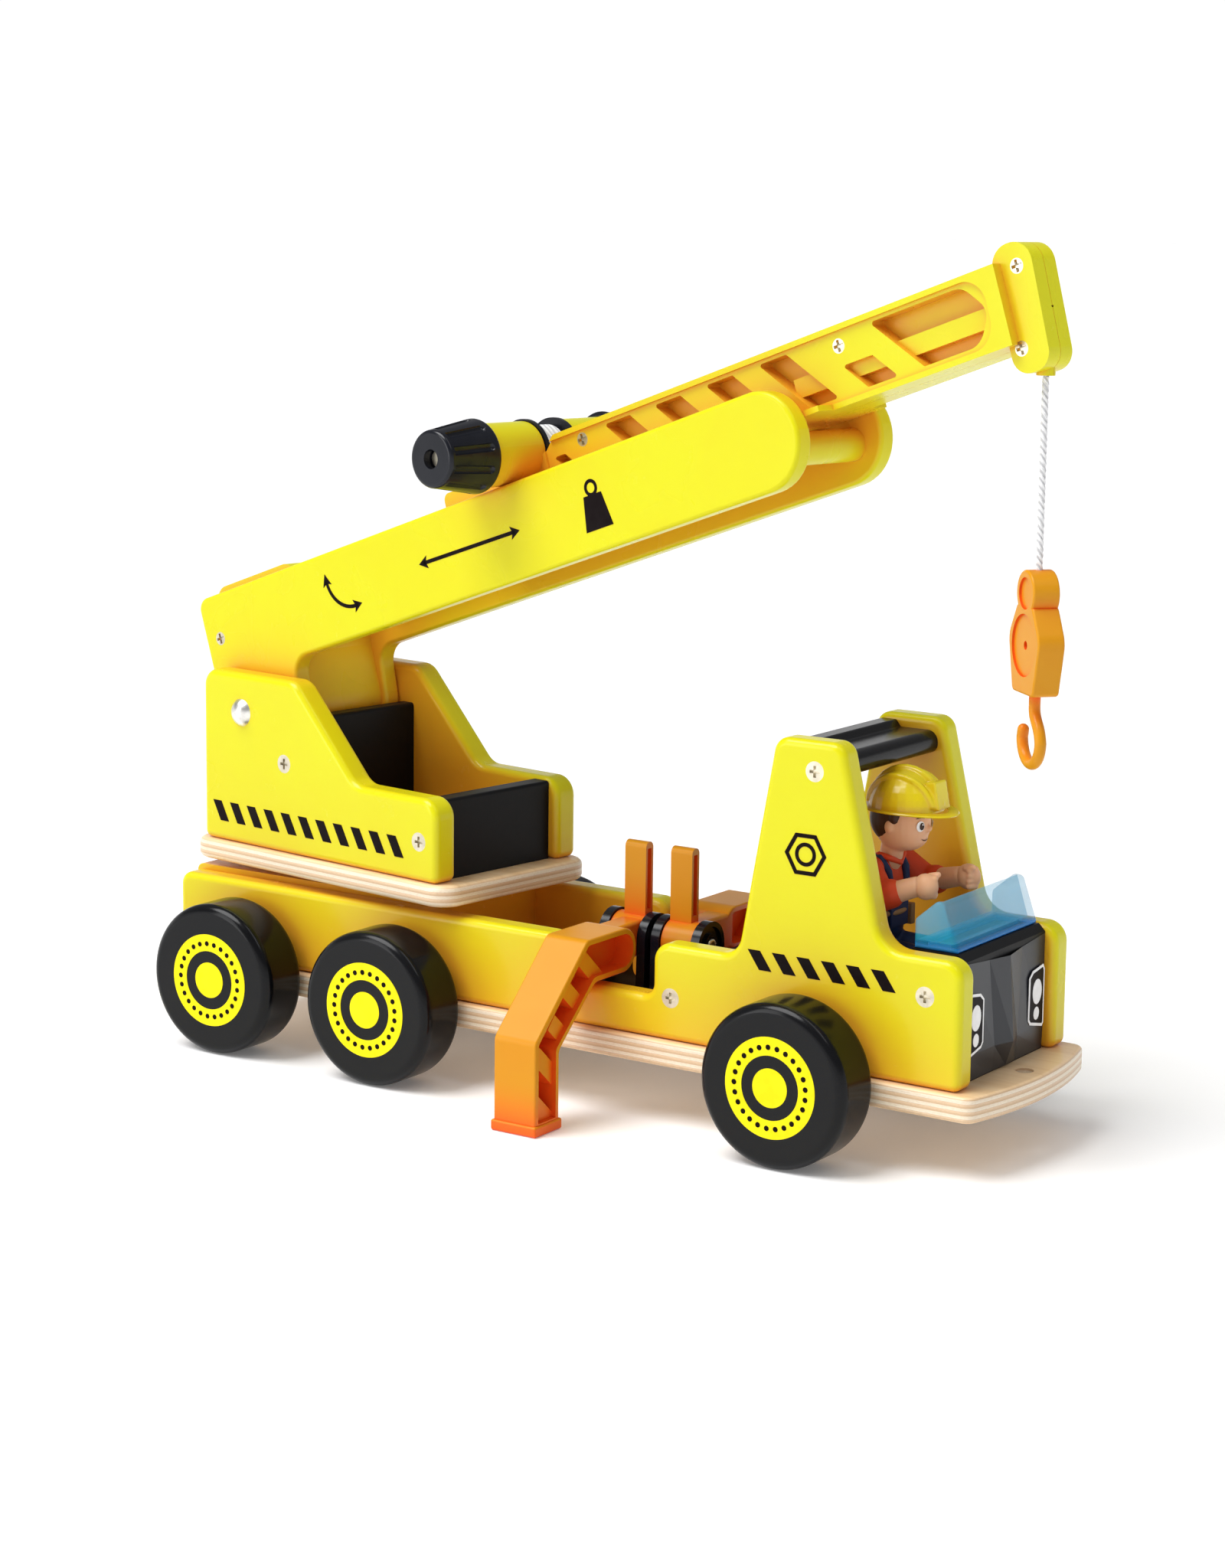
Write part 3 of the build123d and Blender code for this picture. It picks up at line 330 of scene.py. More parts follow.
def clear_plastic(name):
    """Tinted clear plastic, deeper blue in its thick foot."""
    look = Look(name)
    rise = look.axis("Z")
    haze = look.noise(60.0, 3.0)
    tint = look.ramp(look.span(rise, 0.0, 1.0, 0.0780, 0.0950), [
        (0.0, (0.01, 0.14, 0.52)),
        (0.12, (0.01, 0.28, 0.72)),
        (0.20, (0.008, 0.44, 0.72)),
        (1.0, (0.012, 0.47, 0.74)),
    ])
    look.colour(look.mix(look.span(haze, 0.0, 0.06), tint, (0.3, 0.8, 1.0)))
    look.rough(look.span(haze, 0.03, 0.10))
    look.normal(look.bump(haze, 0.00006, 0.25))
    look.join(look.span(rise, 0.92, 0.30, 0.0785, 0.0805), look.shader.inputs["Alpha"])
    look.fixed(IOR=1.46, Coat_Weight=0.15, Coat_Roughness=0.03, Specular_IOR_Level=0.3)
    return look.material


def braided(name):
    """White twisted cotton cord with loose fibres."""
    look = Look(name)
    strand = look.node("ShaderNodeTexWave", wave_type="BANDS", bands_direction="DIAGONAL")
    strand.inputs["Scale"].default_value = 240.0
    strand.inputs["Distortion"].default_value = 1.2
    look.join(look.place, strand.inputs["Vector"])
    fibre = look.noise(2600.0, 5.0, 0.7)
    # The colour is darker along the low parts of the twist bands, which is painted shade in the grooves
    # between the strands, and it is mottled by the fibre noise.
    look.colour(look.ramp(look.maths("MULTIPLY", strand.outputs["Fac"], fibre), [
        (0.05, (0.50, 0.50, 0.51)),
        (0.30, (0.80, 0.80, 0.80)),
    ]))
    look.rough(look.span(fibre, 0.7, 0.95))
    look.normal(look.bump(fibre, 0.00006, 0.6, look.bump(strand.outputs["Fac"], 0.00012, 0.6)))
    look.fixed(Sheen_Weight=0.3)
    return look.material


def ink(name, main):
    """Screen-printed ink with tiny pinholes and uneven film."""
    look = Look(name)
    film = look.noise(240.0, 4.0)
    speck = look.noise(2400.0, 3.0, 0.7)
    lighter = tuple(min(1.0, c * 1.3 + 0.004) for c in main)
    tone = look.mix(look.span(film, 0.0, 0.7, 0.35, 0.75), main, lighter)
    look.colour(look.mix(look.span(speck, 0.0, 0.25, 0.66, 0.8), tone, lighter))
    look.rough(look.span(film, 0.28, 0.45))
    look.normal(look.bump(speck, 0.00001, 0.4))
    look.fixed(Specular_IOR_Level=0.06)
    return look.material


def floor_look(name):
    look = Look(name)
    cloud = look.noise(1.4, 2.0)
    look.colour(look.mix(cloud, (0.93, 0.93, 0.93), (0.955, 0.955, 0.955)))
    look.rough(look.span(look.noise(40.0, 4.0), 0.55, 0.65))
    look.fixed(Emission_Color=(1, 1, 1, 1), Emission_Strength=0.09)
    return look.material


# YELLOW_SHADE is painted shade: the orange that the yellow parts turn to in their corners.
YELLOW, YELLOW_DEEP, YELLOW_SHADE = (0.66, 0.64, 0.005), (0.66, 0.59, 0.004), (0.80, 0.32, 0.025)
yellow_paint = painted_wood("yellow_paint", YELLOW, YELLOW_DEEP, 0.2, 0.32, 0.15, 0.2, YELLOW_SHADE)
black_paint = painted_wood(
    "black_paint", (0.0028, 0.0030, 0.0038), (0.006, 0.006, 0.007), 0.16, 0.28, 0.16, 0.12
)
satin_black = painted_wood(
    "satin_black", (0.0045, 0.0048, 0.0055), (0.010, 0.010, 0.011), 0.34, 0.5, 0.0, 0.12
)
yellow_plastic = moulded("yellow_plastic", YELLOW, YELLOW_DEEP, 0.22, 0.34, 0.0, YELLOW_SHADE, 0.22)
black_plastic = moulded("black_plastic", (0.005, 0.006, 0.010), (0.012, 0.013, 0.018), 0.14, 0.26)
hood_plastic = moulded(
    "hood_plastic", (0.012, 0.014, 0.019), (0.018, 0.020, 0.026), 0.26, 0.36, 0.0, None, 0.42
)
orange_plastic = moulded(
    "orange_plastic", (0.62, 0.27, 0.008), (0.62, 0.235, 0.007), 0.25, 0.38, 0.0,
    # Painted shade: (0.80, 0.07, 0.008) is the red-orange that the corners of the orange parts turn to.
    (0.80, 0.07, 0.008), 0.2, 0.02, 0.55,
)
ply = plywood("plywood")
zinc = steel("zinc_steel", (0.72, 0.66, 0.52), 0.22, 0.42, True)
bright = steel("polished_steel", (0.90, 0.88, 0.84), 0.26, 0.36)
clear_blue = clear_plastic("clear_blue")
cord_white = braided("cord_white")
ink_black = ink("ink_black", (0.004, 0.0012, 0.0014))
ink_yellow = ink("ink_yellow", (0.80, 0.68, 0.008))
ink_white = ink("ink_white", (0.86, 0.86, 0.86))
skin = moulded("figure_skin", (0.80, 0.46, 0.27), (0.77, 0.40, 0.22), 0.38, 0.5, 0.2)
shirt_red = moulded("figure_red", (0.72, 0.075, 0.018), (0.60, 0.05, 0.015), 0.5, 0.65)
navy = moulded("figure_navy", (0.012, 0.028, 0.095), (0.02, 0.05, 0.14), 0.45, 0.6)
hair_brown = moulded("figure_hair", (0.035, 0.012, 0.005), (0.06, 0.022, 0.01), 0.4, 0.6)
tan_leather = moulded("figure_pouch", (0.42, 0.25, 0.11), (0.30, 0.16, 0.06), 0.5, 0.7)
boot_brown = moulded("figure_boot", (0.05, 0.028, 0.016), (0.08, 0.045, 0.025), 0.4, 0.6)
helmet_yellow = moulded(
    # Painted shade: (0.60, 0.32, 0.01) is the deeper tint for the helmet's corners.
    "figure_helmet", (0.78, 0.66, 0.010), (0.76, 0.58, 0.008), 0.18, 0.28, 0.0, (0.60, 0.32, 0.01), 0.4
)

NODE_LOOKS = {
    "side_panel_right": yellow_paint,
    "side_panel_left": yellow_paint,
    "turret_panel_right": yellow_paint,
    "turret_panel_left": yellow_paint,
    "rear_deck_block": yellow_paint,
    "boom_shell_right": yellow_plastic,
    "boom_shell_left": yellow_plastic,
    "boom_centre_web": yellow_plastic,
    "boom_nose_spacer": yellow_plastic,
    "inner_boom_right": yellow_plastic,
    "inner_boom_left": yellow_plastic,
    "winch_collars": yellow_plastic,
    "base_board": ply,
    "turret_plate": ply,
    "hood_block": satin_black,
    "middle_cross_block": satin_black,
    "seat_block": satin_black,
    "turret_front_block": satin_black,
    "turret_rear_block": satin_black,
    "roof_bar": black_paint,
    "winch_knob_right": black_plastic,
    "winch_knob_left": black_plastic,
    "outrigger_brackets": black_plastic,
    "winch_drum": black_plastic,
    "cord_guide_roller": black_plastic,
    "turntable_washer": black_plastic,
    "outrigger_right": orange_plastic,
    "outrigger_left": orange_plastic,
    "hook_block": orange_plastic,
    "hook": orange_plastic,
    "windshield": clear_blue,
    "boom_pivot_bolt": bright,
    "hoist_cord_run": cord_white,
    "hoist_cord_hanging": cord_white,
    "cord_winding": cord_white,
    "driver_head": skin,
    "driver_hands": skin,
    "driver_arms": skin,
    "driver_shirt": shirt_red,
    "driver_trousers": navy,
    "driver_boots": boot_brown,
    "driver_helmet": helmet_yellow,
}
for name, node in nodes.items():
    if name.startswith("wheel"):
        chosen = black_paint
    else:
        chosen = NODE_LOOKS.get(name, zinc)
    node.data.materials.clear()
    node.data.materials.append(chosen)


# ---- mesh helpers -----------------------------------------------------------------
def finish_mesh(name, bm, matrix, material, body, smooth=True):
    """Turn a bmesh in local millimetres into a piece that rides on a CAD body."""
    bmesh.ops.transform(bm, matrix=matrix, verts=bm.verts)
    bmesh.ops.recalc_face_normals(bm, faces=bm.faces)
    mesh = bpy.data.meshes.new(name)
    bm.to_mesh(mesh)
    bm.free()
    mesh.materials.append(material)
    if smooth:
        mesh.shade_smooth()
        mesh.set_sharp_from_angle(angle=math.radians(40))
    piece = bpy.data.objects.new(name, mesh)
    bpy.context.scene.collection.objects.link(piece)
    if body is not None:
        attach(piece, body)
    return piece


def prism(bm, outline, height, place):
    """Closed plate: place(a, b, h) puts a point of the outline at height h."""
    low = [bm.verts.new(place(a, b, 0.0)) for a, b in outline]
    high = [bm.verts.new(place(a, b, height)) for a, b in outline]
    bm.faces.new(high)
    bm.faces.new(list(reversed(low)))
    for k in range(len(outline)):
        nxt = (k + 1) % len(outline)
        bm.faces.new((low[k], low[nxt], high[nxt], high[k]))


def ring(bm, centre, inner, outer, height, place, count=72):
    """Closed flat ring around a centre."""
    loops = []
    for radius, h in ((inner, 0.0), (outer, 0.0), (outer, height), (inner, height)):
        loop = []
        for k in range(count):
            angle = 2 * math.pi * k / count
            spot = place(centre[0] + radius * math.cos(angle), centre[1] + radius * math.sin(angle), h)
            loop.append(bm.verts.new(spot))
        loops.append(loop)
    for j in range(4):
        first, second = loops[j], loops[(j + 1) % 4]
        for k in range(count):
            nxt = (k + 1) % count
            bm.faces.new((first[k], first[nxt], second[nxt], second[k]))


def circle(centre, radius, count=48, squeeze=1.0):
    points = []
    for k in range(count):
        angle = 2 * math.pi * k / count
        points.append((centre[0] + radius * math.cos(angle), centre[1] + squeeze * radius * math.sin(angle)))
    return points


def on_side(face_y, side):
    """Places outline points (x, z) on the plane y = side * face_y, growing outwards."""
    return lambda a, b, h: (a, side * (face_y + h), b)


INK_DEPTH = 0.12
# Planes that carry prints: distance from the middle, or from the rear axle for the lamps.
WHEEL_FACE = 69.1
CAB_FACE = 42.0
TURRET_FACE = 39.3
SHELL_FACE = 27.3
LAMP_FACE = 315.9


# ---- printed wheels ---------------------------------------------------------------
AXLES = {"rear": 0.0, "middle": 78.3, "front": 259.6}
AXLE_HEIGHT = 30.0
DOTS = 25
DOT_RING = 14.7
for place_name, axle_x in AXLES.items():
    for side_name, side in (("right", -1), ("left", 1)):
        spot = on_side(WHEEL_FACE, side)
        body = "axle_set_" + place_name
        tag = place_name + "_" + side_name
        bm = bmesh.new()
        ring(bm, (axle_x, AXLE_HEIGHT), 11.7, 18.4, INK_DEPTH, spot, 96)
        prism(bm, circle((axle_x, AXLE_HEIGHT), 7.1, 64), INK_DEPTH, spot)
        finish_mesh("wheel_print_" + tag, bm, TRUCK, ink_yellow, body)
        bm = bmesh.new()
        for k in range(DOTS):
            angle = 2 * math.pi * (k + 0.5) / DOTS
            dot = (axle_x + DOT_RING * math.cos(angle), AXLE_HEIGHT + DOT_RING * math.sin(angle))
            prism(bm, circle(dot, 0.98, 20), INK_DEPTH * 1.7, spot)
        finish_mesh("wheel_dots_" + tag, bm, TRUCK, ink_black, body)


# ---- printed stripes, arrows and signs ----------------------------------------------
def stripes(name, matrix, body, face_y, side, start_x, top_z, drop, count, pitch, width, slant):
    bm = bmesh.new()
    for k in range(count):
        x = start_x + pitch * k
        bar = [(x, top_z), (x + width, top_z), (x + width + slant, top_z - drop), (x + slant, top_z - drop)]
        prism(bm, bar, INK_DEPTH, on_side(face_y, side))
    return finish_mesh(name, bm, matrix, ink_black, body)


def arrow_line(bm, points, width, place):
    """A line with an arrow head at both ends."""
    for k in range(len(points) - 1):
        a, b = Vector(points[k]), Vector(points[k + 1])
        across = Vector((-(b - a).y, (b - a).x)).normalized() * width / 2
        along = (b - a).normalized() * 0.12
        quad = [a + across - along, b + across + along, b - across + along, a - across - along]
        prism(bm, [tuple(p) for p in quad], INK_DEPTH, place)
    for tip, before in ((points[-1], points[-2]), (points[0], points[1])):
        tip, before = Vector(tip), Vector(before)
        along = (tip - before).normalized()
        across = Vector((-along.y, along.x))
        barb = tip - along * 2.2
        head = [tip + along * 2.6, barb + across * 2.5, tip - along * 1.2, barb - across * 2.5]
        prism(bm, [tuple(p) for p in head], INK_DEPTH, place)


for side_name, side in (("right", -1), ("left", 1)):
    stripes(
        "cab_stripes_" + side_name, TRUCK, "chassis", CAB_FACE, side,
        232.7, 71.0, 7.1, 6, 10.2, 5.2, 5.0,
    )
    stripes(
        "turret_stripes_" + side_name, TURRET, "turret", TURRET_FACE, side,
        -61.5, 93.3, 8.1, 11, 10.14, 5.0, 4.5,
    )
    spot = on_side(SHELL_FACE, side)
    bm = bmesh.new()
    arrow_line(bm, [(108.8, 33.8), (159.4, 33.2)], 1.45, spot)
    finish_mesh("extend_sign_" + side_name, bm, BOOM, ink_black, "outer_boom")
    bm = bmesh.new()
    bend = [
        (66.5 + 13.2 * math.cos(math.radians(angle)), 40.5 + 13.2 * math.sin(math.radians(angle)))
        for angle in range(180, 279, 6)
    ]
    arrow_line(bm, bend, 1.45, spot)
    finish_mesh("raise_sign_" + side_name, bm, BOOM, ink_black, "outer_boom")
    bm = bmesh.new()
    prism(bm, [(194.6, 23.6), (208.4, 23.6), (206.0, 36.4), (197.0, 36.4)], INK_DEPTH, spot)
    ring(bm, (201.5, 38.9), 1.9, 3.2, INK_DEPTH * 0.8, spot, 40)
    finish_mesh("load_sign_" + side_name, bm, BOOM, ink_black, "outer_boom")
    spot = on_side(CAB_FACE, side)
    bm = bmesh.new()
    ring(bm, (256.0, 108.5), 6.9, 8.6, INK_DEPTH, spot, 6)
    ring(bm, (256.0, 108.5), 2.9, 4.3, INK_DEPTH, spot, 40)
    finish_mesh("cab_mark_" + side_name, bm, TRUCK, ink_black, "chassis")


# ---- front of the hood --------------------------------------------------------------
# Height, then how far forward the middle, the edges and the outer ends stand.
HOOD_ROWS = [(72.4, 316.6, 315.2, 315.2), (41.2, 318.8, 316.2, 315.5), (31.9, 315.9, 315.3, 315.2)]


def hood_front():
    """Faceted grille: a prow in the middle, flat lamp panels beside it, a skirt below."""
    bm = bmesh.new()
    rows = []
    for z, middle, edge, outer in HOOD_ROWS:
        half = 12.6 if z > 60 else 8.8
        rows.append([
            bm.verts.new((outer, -30.6, z + (2.4 if z > 60 else 0.0))),
            bm.verts.new((edge, -half, z + (0.7 if z > 60 else 0.0))),
            bm.verts.new((middle, 0.8, z)),
            bm.verts.new((edge, half, z + (0.7 if z > 60 else 0.0))),
            bm.verts.new((outer, 30.6, z + (2.4 if z > 60 else 0.0))),
        ])
    for upper, lower in zip(rows, rows[1:]):
        for k in range(4):
            bm.faces.new((upper[k], upper[k + 1], lower[k + 1], lower[k]))
    return finish_mesh("hood_facets", bm, TRUCK, hood_plastic, "chassis", False)


LAMP_FRAME = [
    (17.5, 60.2), (20.2, 62.6), (28.4, 63.8), (29.6, 61.8),
    (29.7, 41.6), (28.6, 40.4), (19.0, 42.6), (17.4, 44.4),
]
LAMP_BACK = [
    (18.5, 59.9), (20.7, 61.6), (28.0, 62.7), (28.6, 61.4),
    (28.7, 42.1), (28.2, 41.6), (19.4, 43.6), (18.4, 44.9),
]


def lamp(side):
    """Printed lamp: white frame, black panel, one large and one small light."""
    tag = "right" if side < 0 else "left"

    def spot(a, b, h):
        return LAMP_FACE + h, side * a, b

    bm = bmesh.new()
    prism(bm, LAMP_FRAME, 0.2, spot)
    finish_mesh("lamp_frame_" + tag, bm, TRUCK, ink_white, "chassis")
    bm = bmesh.new()
    prism(bm, LAMP_BACK, 0.3, spot)
    finish_mesh("lamp_back_" + tag, bm, TRUCK, ink_black, "chassis")
    bm = bmesh.new()
    prism(bm, circle((23.6, 54.4), 3.5, 40, 1.34), 0.45, spot)
    prism(bm, circle((23.4, 46.3), 2.1, 32, 1.15), 0.45, spot)
    finish_mesh("lamp_lights_" + tag, bm, TRUCK, ink_white, "chassis")


hood_front()
lamp(-1)
lamp(1)


# ---- cord ---------------------------------------------------------------------------
def tube(bm, points, radius, sides=10):
    """Round tube through points."""
    loops = []
    first = None
    for k, point in enumerate(points):
        before, after = points[max(0, k - 1)], points[min(len(points) - 1, k + 1)]
        along = (Vector(after) - Vector(before)).normalized()
        if first is None:
            first = along.orthogonal().normalized()
        else:
            first = (first - along * first.dot(along)).normalized()
        second = along.cross(first)
        loop = []
        for j in range(sides):
            angle = 2 * math.pi * j / sides
            outwards = first * math.cos(angle) + second * math.sin(angle)
            loop.append(bm.verts.new(Vector(point) + radius * outwards))
        loops.append(loop)
    for first_loop, second_loop in zip(loops, loops[1:]):
        for j in range(sides):
            nxt = (j + 1) % sides
            bm.faces.new((first_loop[j], first_loop[nxt], second_loop[nxt], second_loop[j]))
    bm.faces.new(list(reversed(loops[0])))
    bm.faces.new(loops[-1])


def route_points(points):
    """Points along the smooth NURBS line through a cord's route."""
    curve = bpy.data.curves.new("route", "CURVE")
    curve.dimensions = "3D"
    curve.resolution_u = 24
    spline = curve.splines.new("NURBS")
    spline.points.add(len(points) - 1)
    for spot, point in zip(spline.points, points):
        spot.co = (*point, 1)
    spline.order_u = 3
    spline.use_endpoint_u = True
    holder = bpy.data.objects.new("route", curve)
    line = bpy.data.meshes.new_from_object(holder)
    found = [tuple(v.co) for v in line.vertices]
    bpy.data.objects.remove(holder)
    return found


CORD_TOP = 280.7
CORD_MIDDLE = 247.0
CORD_FOOT = 213.6
CORD_DIAMETER = 0.0024
STRAND_RADIUS = 0.00064
STRAND_OFFSET = CORD_DIAMETER / 2 - STRAND_RADIUS
CORD_STEPS = 180
CORD_TWISTS = 11.0


def hanging_cord():
    """Three twisted strands from the boom's head down to the hook block."""
    top = CORD_LINE @ Vector((0, 0, CORD_TOP))
    middle = CORD_LINE @ Vector((0, 0, CORD_MIDDLE))
    foot = CORD_LINE @ Vector((0, 0, CORD_FOOT))
    line = route_points([top, middle, foot])
    line = sorted(line, key=lambda p: -p[2])
    length = line[0][2] - line[-1][2]
    bm = bmesh.new()
    for strand in range(3):
        path = []
        for k in range(CORD_STEPS + 1):
            z = line[0][2] - length * k / CORD_STEPS
            angle = 2 * math.pi * (strand / 3 + CORD_TWISTS * k / CORD_STEPS)
            path.append((top.x + STRAND_OFFSET * math.cos(angle), top.y + STRAND_OFFSET * math.sin(angle), z))
        tube(bm, path, STRAND_RADIUS, 8)
    cord = finish_mesh("hoist_cord", bm, Matrix.Identity(4), cord_white, None)
    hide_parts("hoist_cord_hanging")
    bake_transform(cord)


DRUM_CENTRE = (155.5, 63.6)
DRUM_TURNS = 5
TURN_STEPS = 36
TURN_RADIUS = 9.15
TURN_SPREAD = 11.7


def wound_cord():
    """Turns of cord side by side on the drum."""
    bm = bmesh.new()
    path = []
    drum_x, drum_z = DRUM_CENTRE
    for k in range(DRUM_TURNS * TURN_STEPS + 1):
        angle = 2 * math.pi * k / TURN_STEPS
        y = TURN_SPREAD * k / (DRUM_TURNS * TURN_STEPS) - TURN_SPREAD / 2
        path.append((drum_x + TURN_RADIUS * math.sin(angle), y, drum_z - TURN_RADIUS * math.cos(angle)))
    tube(bm, path, 1.17, 10)
    ring(bm, DRUM_CENTRE, 7.0, 8.6, 14.2, lambda a, b, h: (a, h - 7.1, b), 48)
    wound = finish_mesh("wound_cord", bm, BOOM, cord_white, "winch")
    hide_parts("cord_winding")


hanging_cord()
wound_cord()


# ---- driver figure ------------------------------------------------------------------
def blob(name, shapes, voxel, rounds, material, replaced=()):
    """Rounded shapes melted into one smooth skin."""
    bm = bmesh.new()
    for shape in shapes:
        if shape[0] == "ball":
            place = Matrix.Translation(shape[1]) @ Matrix.Diagonal((*shape[2], 1))
            bmesh.ops.create_uvsphere(bm, u_segments=28, v_segments=18, radius=1.0, matrix=place)
        elif shape[0] == "slab":
            turn = Matrix.Rotation(math.radians(shape[3] if len(shape) > 3 else 0), 4, "Y")
            place = Matrix.Translation(shape[1]) @ turn @ Matrix.Diagonal((*shape[2], 1))
            bmesh.ops.create_cube(bm, size=2.0, matrix=place)
        else:
            start, end = Vector(shape[1]), Vector(shape[2])
            run = end - start
            turn = run.to_track_quat("Z", "Y").to_matrix().to_4x4()
            place = Matrix.Translation((start + end) / 2) @ turn
            bmesh.ops.create_cone(
                bm, cap_ends=True, segments=24, radius1=shape[3], radius2=shape[4],
                depth=run.length, matrix=place,
            )
            for centre, radius in ((start, shape[3]), (end, shape[4])):
                bmesh.ops.create_uvsphere(
                    bm, u_segments=24, v_segments=16, radius=radius, matrix=Matrix.Translation(centre)
                )
    rough_mesh = bpy.data.meshes.new(name + "_rough")
    bm.to_mesh(rough_mesh)
    bm.free()
    holder = bpy.data.objects.new(name + "_rough", rough_mesh)
    bpy.context.scene.collection.objects.link(holder)
    remesh = holder.modifiers.new("skin", "REMESH")
    remesh.mode = "VOXEL"
    remesh.voxel_size = voxel
    soften = holder.modifiers.new("soften", "SMOOTH")
    soften.factor = 0.5
    soften.iterations = rounds
    depsgraph = bpy.context.evaluated_depsgraph_get()
    skin_mesh = bpy.data.meshes.new_from_object(holder.evaluated_get(depsgraph))
    bpy.data.objects.remove(holder)
    bm = bmesh.new()
    bm.from_mesh(skin_mesh)
    bpy.data.meshes.remove(skin_mesh)
    piece = finish_mesh(name, bm, TRUCK, material, "chassis")
    if replaced:
        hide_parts(*replaced)
    return piece


HEAD = Vector((271.5, 0.0, 116.0))
HEAD_SIZE = Vector((10.8, 10.1, 11.0))


def on_head(azimuth, elevation, lift):
    """Point on the face, angles from straight ahead."""
    a, e = math.radians(azimuth), math.radians(elevation)
    direction = Vector((math.cos(e) * math.cos(a), math.cos(e) * math.sin(a), math.sin(e)))
    return Vector(HEAD + Vector(d * (s + lift) for d, s in zip(direction, HEAD_SIZE)))


def face_patch(name, outline, lift, material):
    """Thin painted patch that follows the curve of the head; outline in degrees."""
    centre = (sum(a for a, e in outline) / len(outline), sum(e for a, e in outline) / len(outline))
    bm = bmesh.new()
    middle = bm.verts.new(on_head(*centre, lift))
    rings = []
    for share in (0.5, 1.0):
        loop = []
        for a, e in outline:
            spot = (centre[0] + (a - centre[0]) * share, centre[1] + (e - centre[1]) * share)
            loop.append(bm.verts.new(on_head(*spot, lift)))
        rings.append(loop)
    count = len(outline)
    for k in range(count):
        nxt = (k + 1) % count
        bm.faces.new((middle, rings[0][k], rings[0][nxt]))
        bm.faces.new((rings[0][k], rings[1][k], rings[1][nxt], rings[0][nxt]))
    return finish_mesh(name, bm, TRUCK, material, "chassis")


def face_stroke(name, points, width, lift, material):
    """Painted stroke across the face: brow or smile, thinner at its ends."""
    upper, lower = [], []
    count = len(points)
    for k, (a, e) in enumerate(points):
        half = width / 2 * (0.35 + 0.65 * math.sin(math.pi * k / (count - 1)))
        upper.append((a, e + half))
        lower.append((a, e - half))
    bm = bmesh.new()
    top = [bm.verts.new(on_head(a, e, lift)) for a, e in upper]
    bottom = [bm.verts.new(on_head(a, e, lift)) for a, e in lower]
    for k in range(count - 1):
        bm.faces.new((bottom[k], bottom[k + 1], top[k + 1], top[k]))
    return finish_mesh(name, bm, TRUCK, material, "chassis")


def build_head():
    blob("figure_head", [
        ("ball", HEAD, HEAD_SIZE),
        ("ball", HEAD + Vector((2.0, 0, -5.0)), (7.8, 7.6, 5.6)),
        ("ball", HEAD + Vector((10.7, 0, -1.6)), (1.5, 1.25, 1.3)),
        ("ball", HEAD + Vector((0.0, -9.9, -0.6)), (1.7, 1.3, 2.4)),
        ("ball", HEAD + Vector((0.0, 9.9, -0.6)), (1.7, 1.3, 2.4)),
        ("limb", (267.0, 0, 101.0), (268.0, 0, 108.0), 4.3, 4.3),
    ], 0.5, 3, skin, ["driver_head"])
    blob("figure_hair", [
        ("ball", HEAD + Vector((-1.7, 0, 1.4)), (10.4, 10.6, 10.6)),
        ("limb", HEAD + Vector((1.8, -9.7, 2.2)), HEAD + Vector((2.2, -9.9, 4.8)), 1.5, 1.5),
        ("limb", HEAD + Vector((1.8, 9.7, 2.2)), HEAD + Vector((2.2, 9.9, 4.8)), 1.5, 1.5),
        ("limb", HEAD + Vector((9.0, -4.5, 6.6)), HEAD + Vector((9.0, 4.5, 6.6)), 1.0, 1.0),
    ], 0.5, 2, hair_brown)
    for side in (-1, 1):
        tag = "right" if side < 0 else "left"
        white = [(side * 25 + x, -1.5 + y) for x, y in circle((0, 0), 9.5, 24, 1.05)]
        face_patch("eye_white_" + tag, white, 0.30, ink_white)
        iris = [(side * 22.5 + x, -1.5 + y) for x, y in circle((0, 0), 5.6, 20, 1.25)]
        face_patch("eye_iris_" + tag, iris, 0.42, hair_brown)
        glint = [(side * 21 + x, 1.8 + y) for x, y in circle((0, 0), 1.6, 12)]
        face_patch("eye_glint_" + tag, glint, 0.52, ink_white)
        brow = [(side * (15 + 4 * k), 13.0 + 2.2 * math.sin(math.pi * k / 5)) for k in range(6)]
        face_stroke("brow_" + tag, brow, 3.2, 0.34, hair_brown)
    smile = [(-18 + 6 * k, -27.0 - 4.5 * math.sin(math.pi * k / 6)) for k in range(7)]
    face_stroke("smile", smile, 2.6, 0.62, hair_brown)


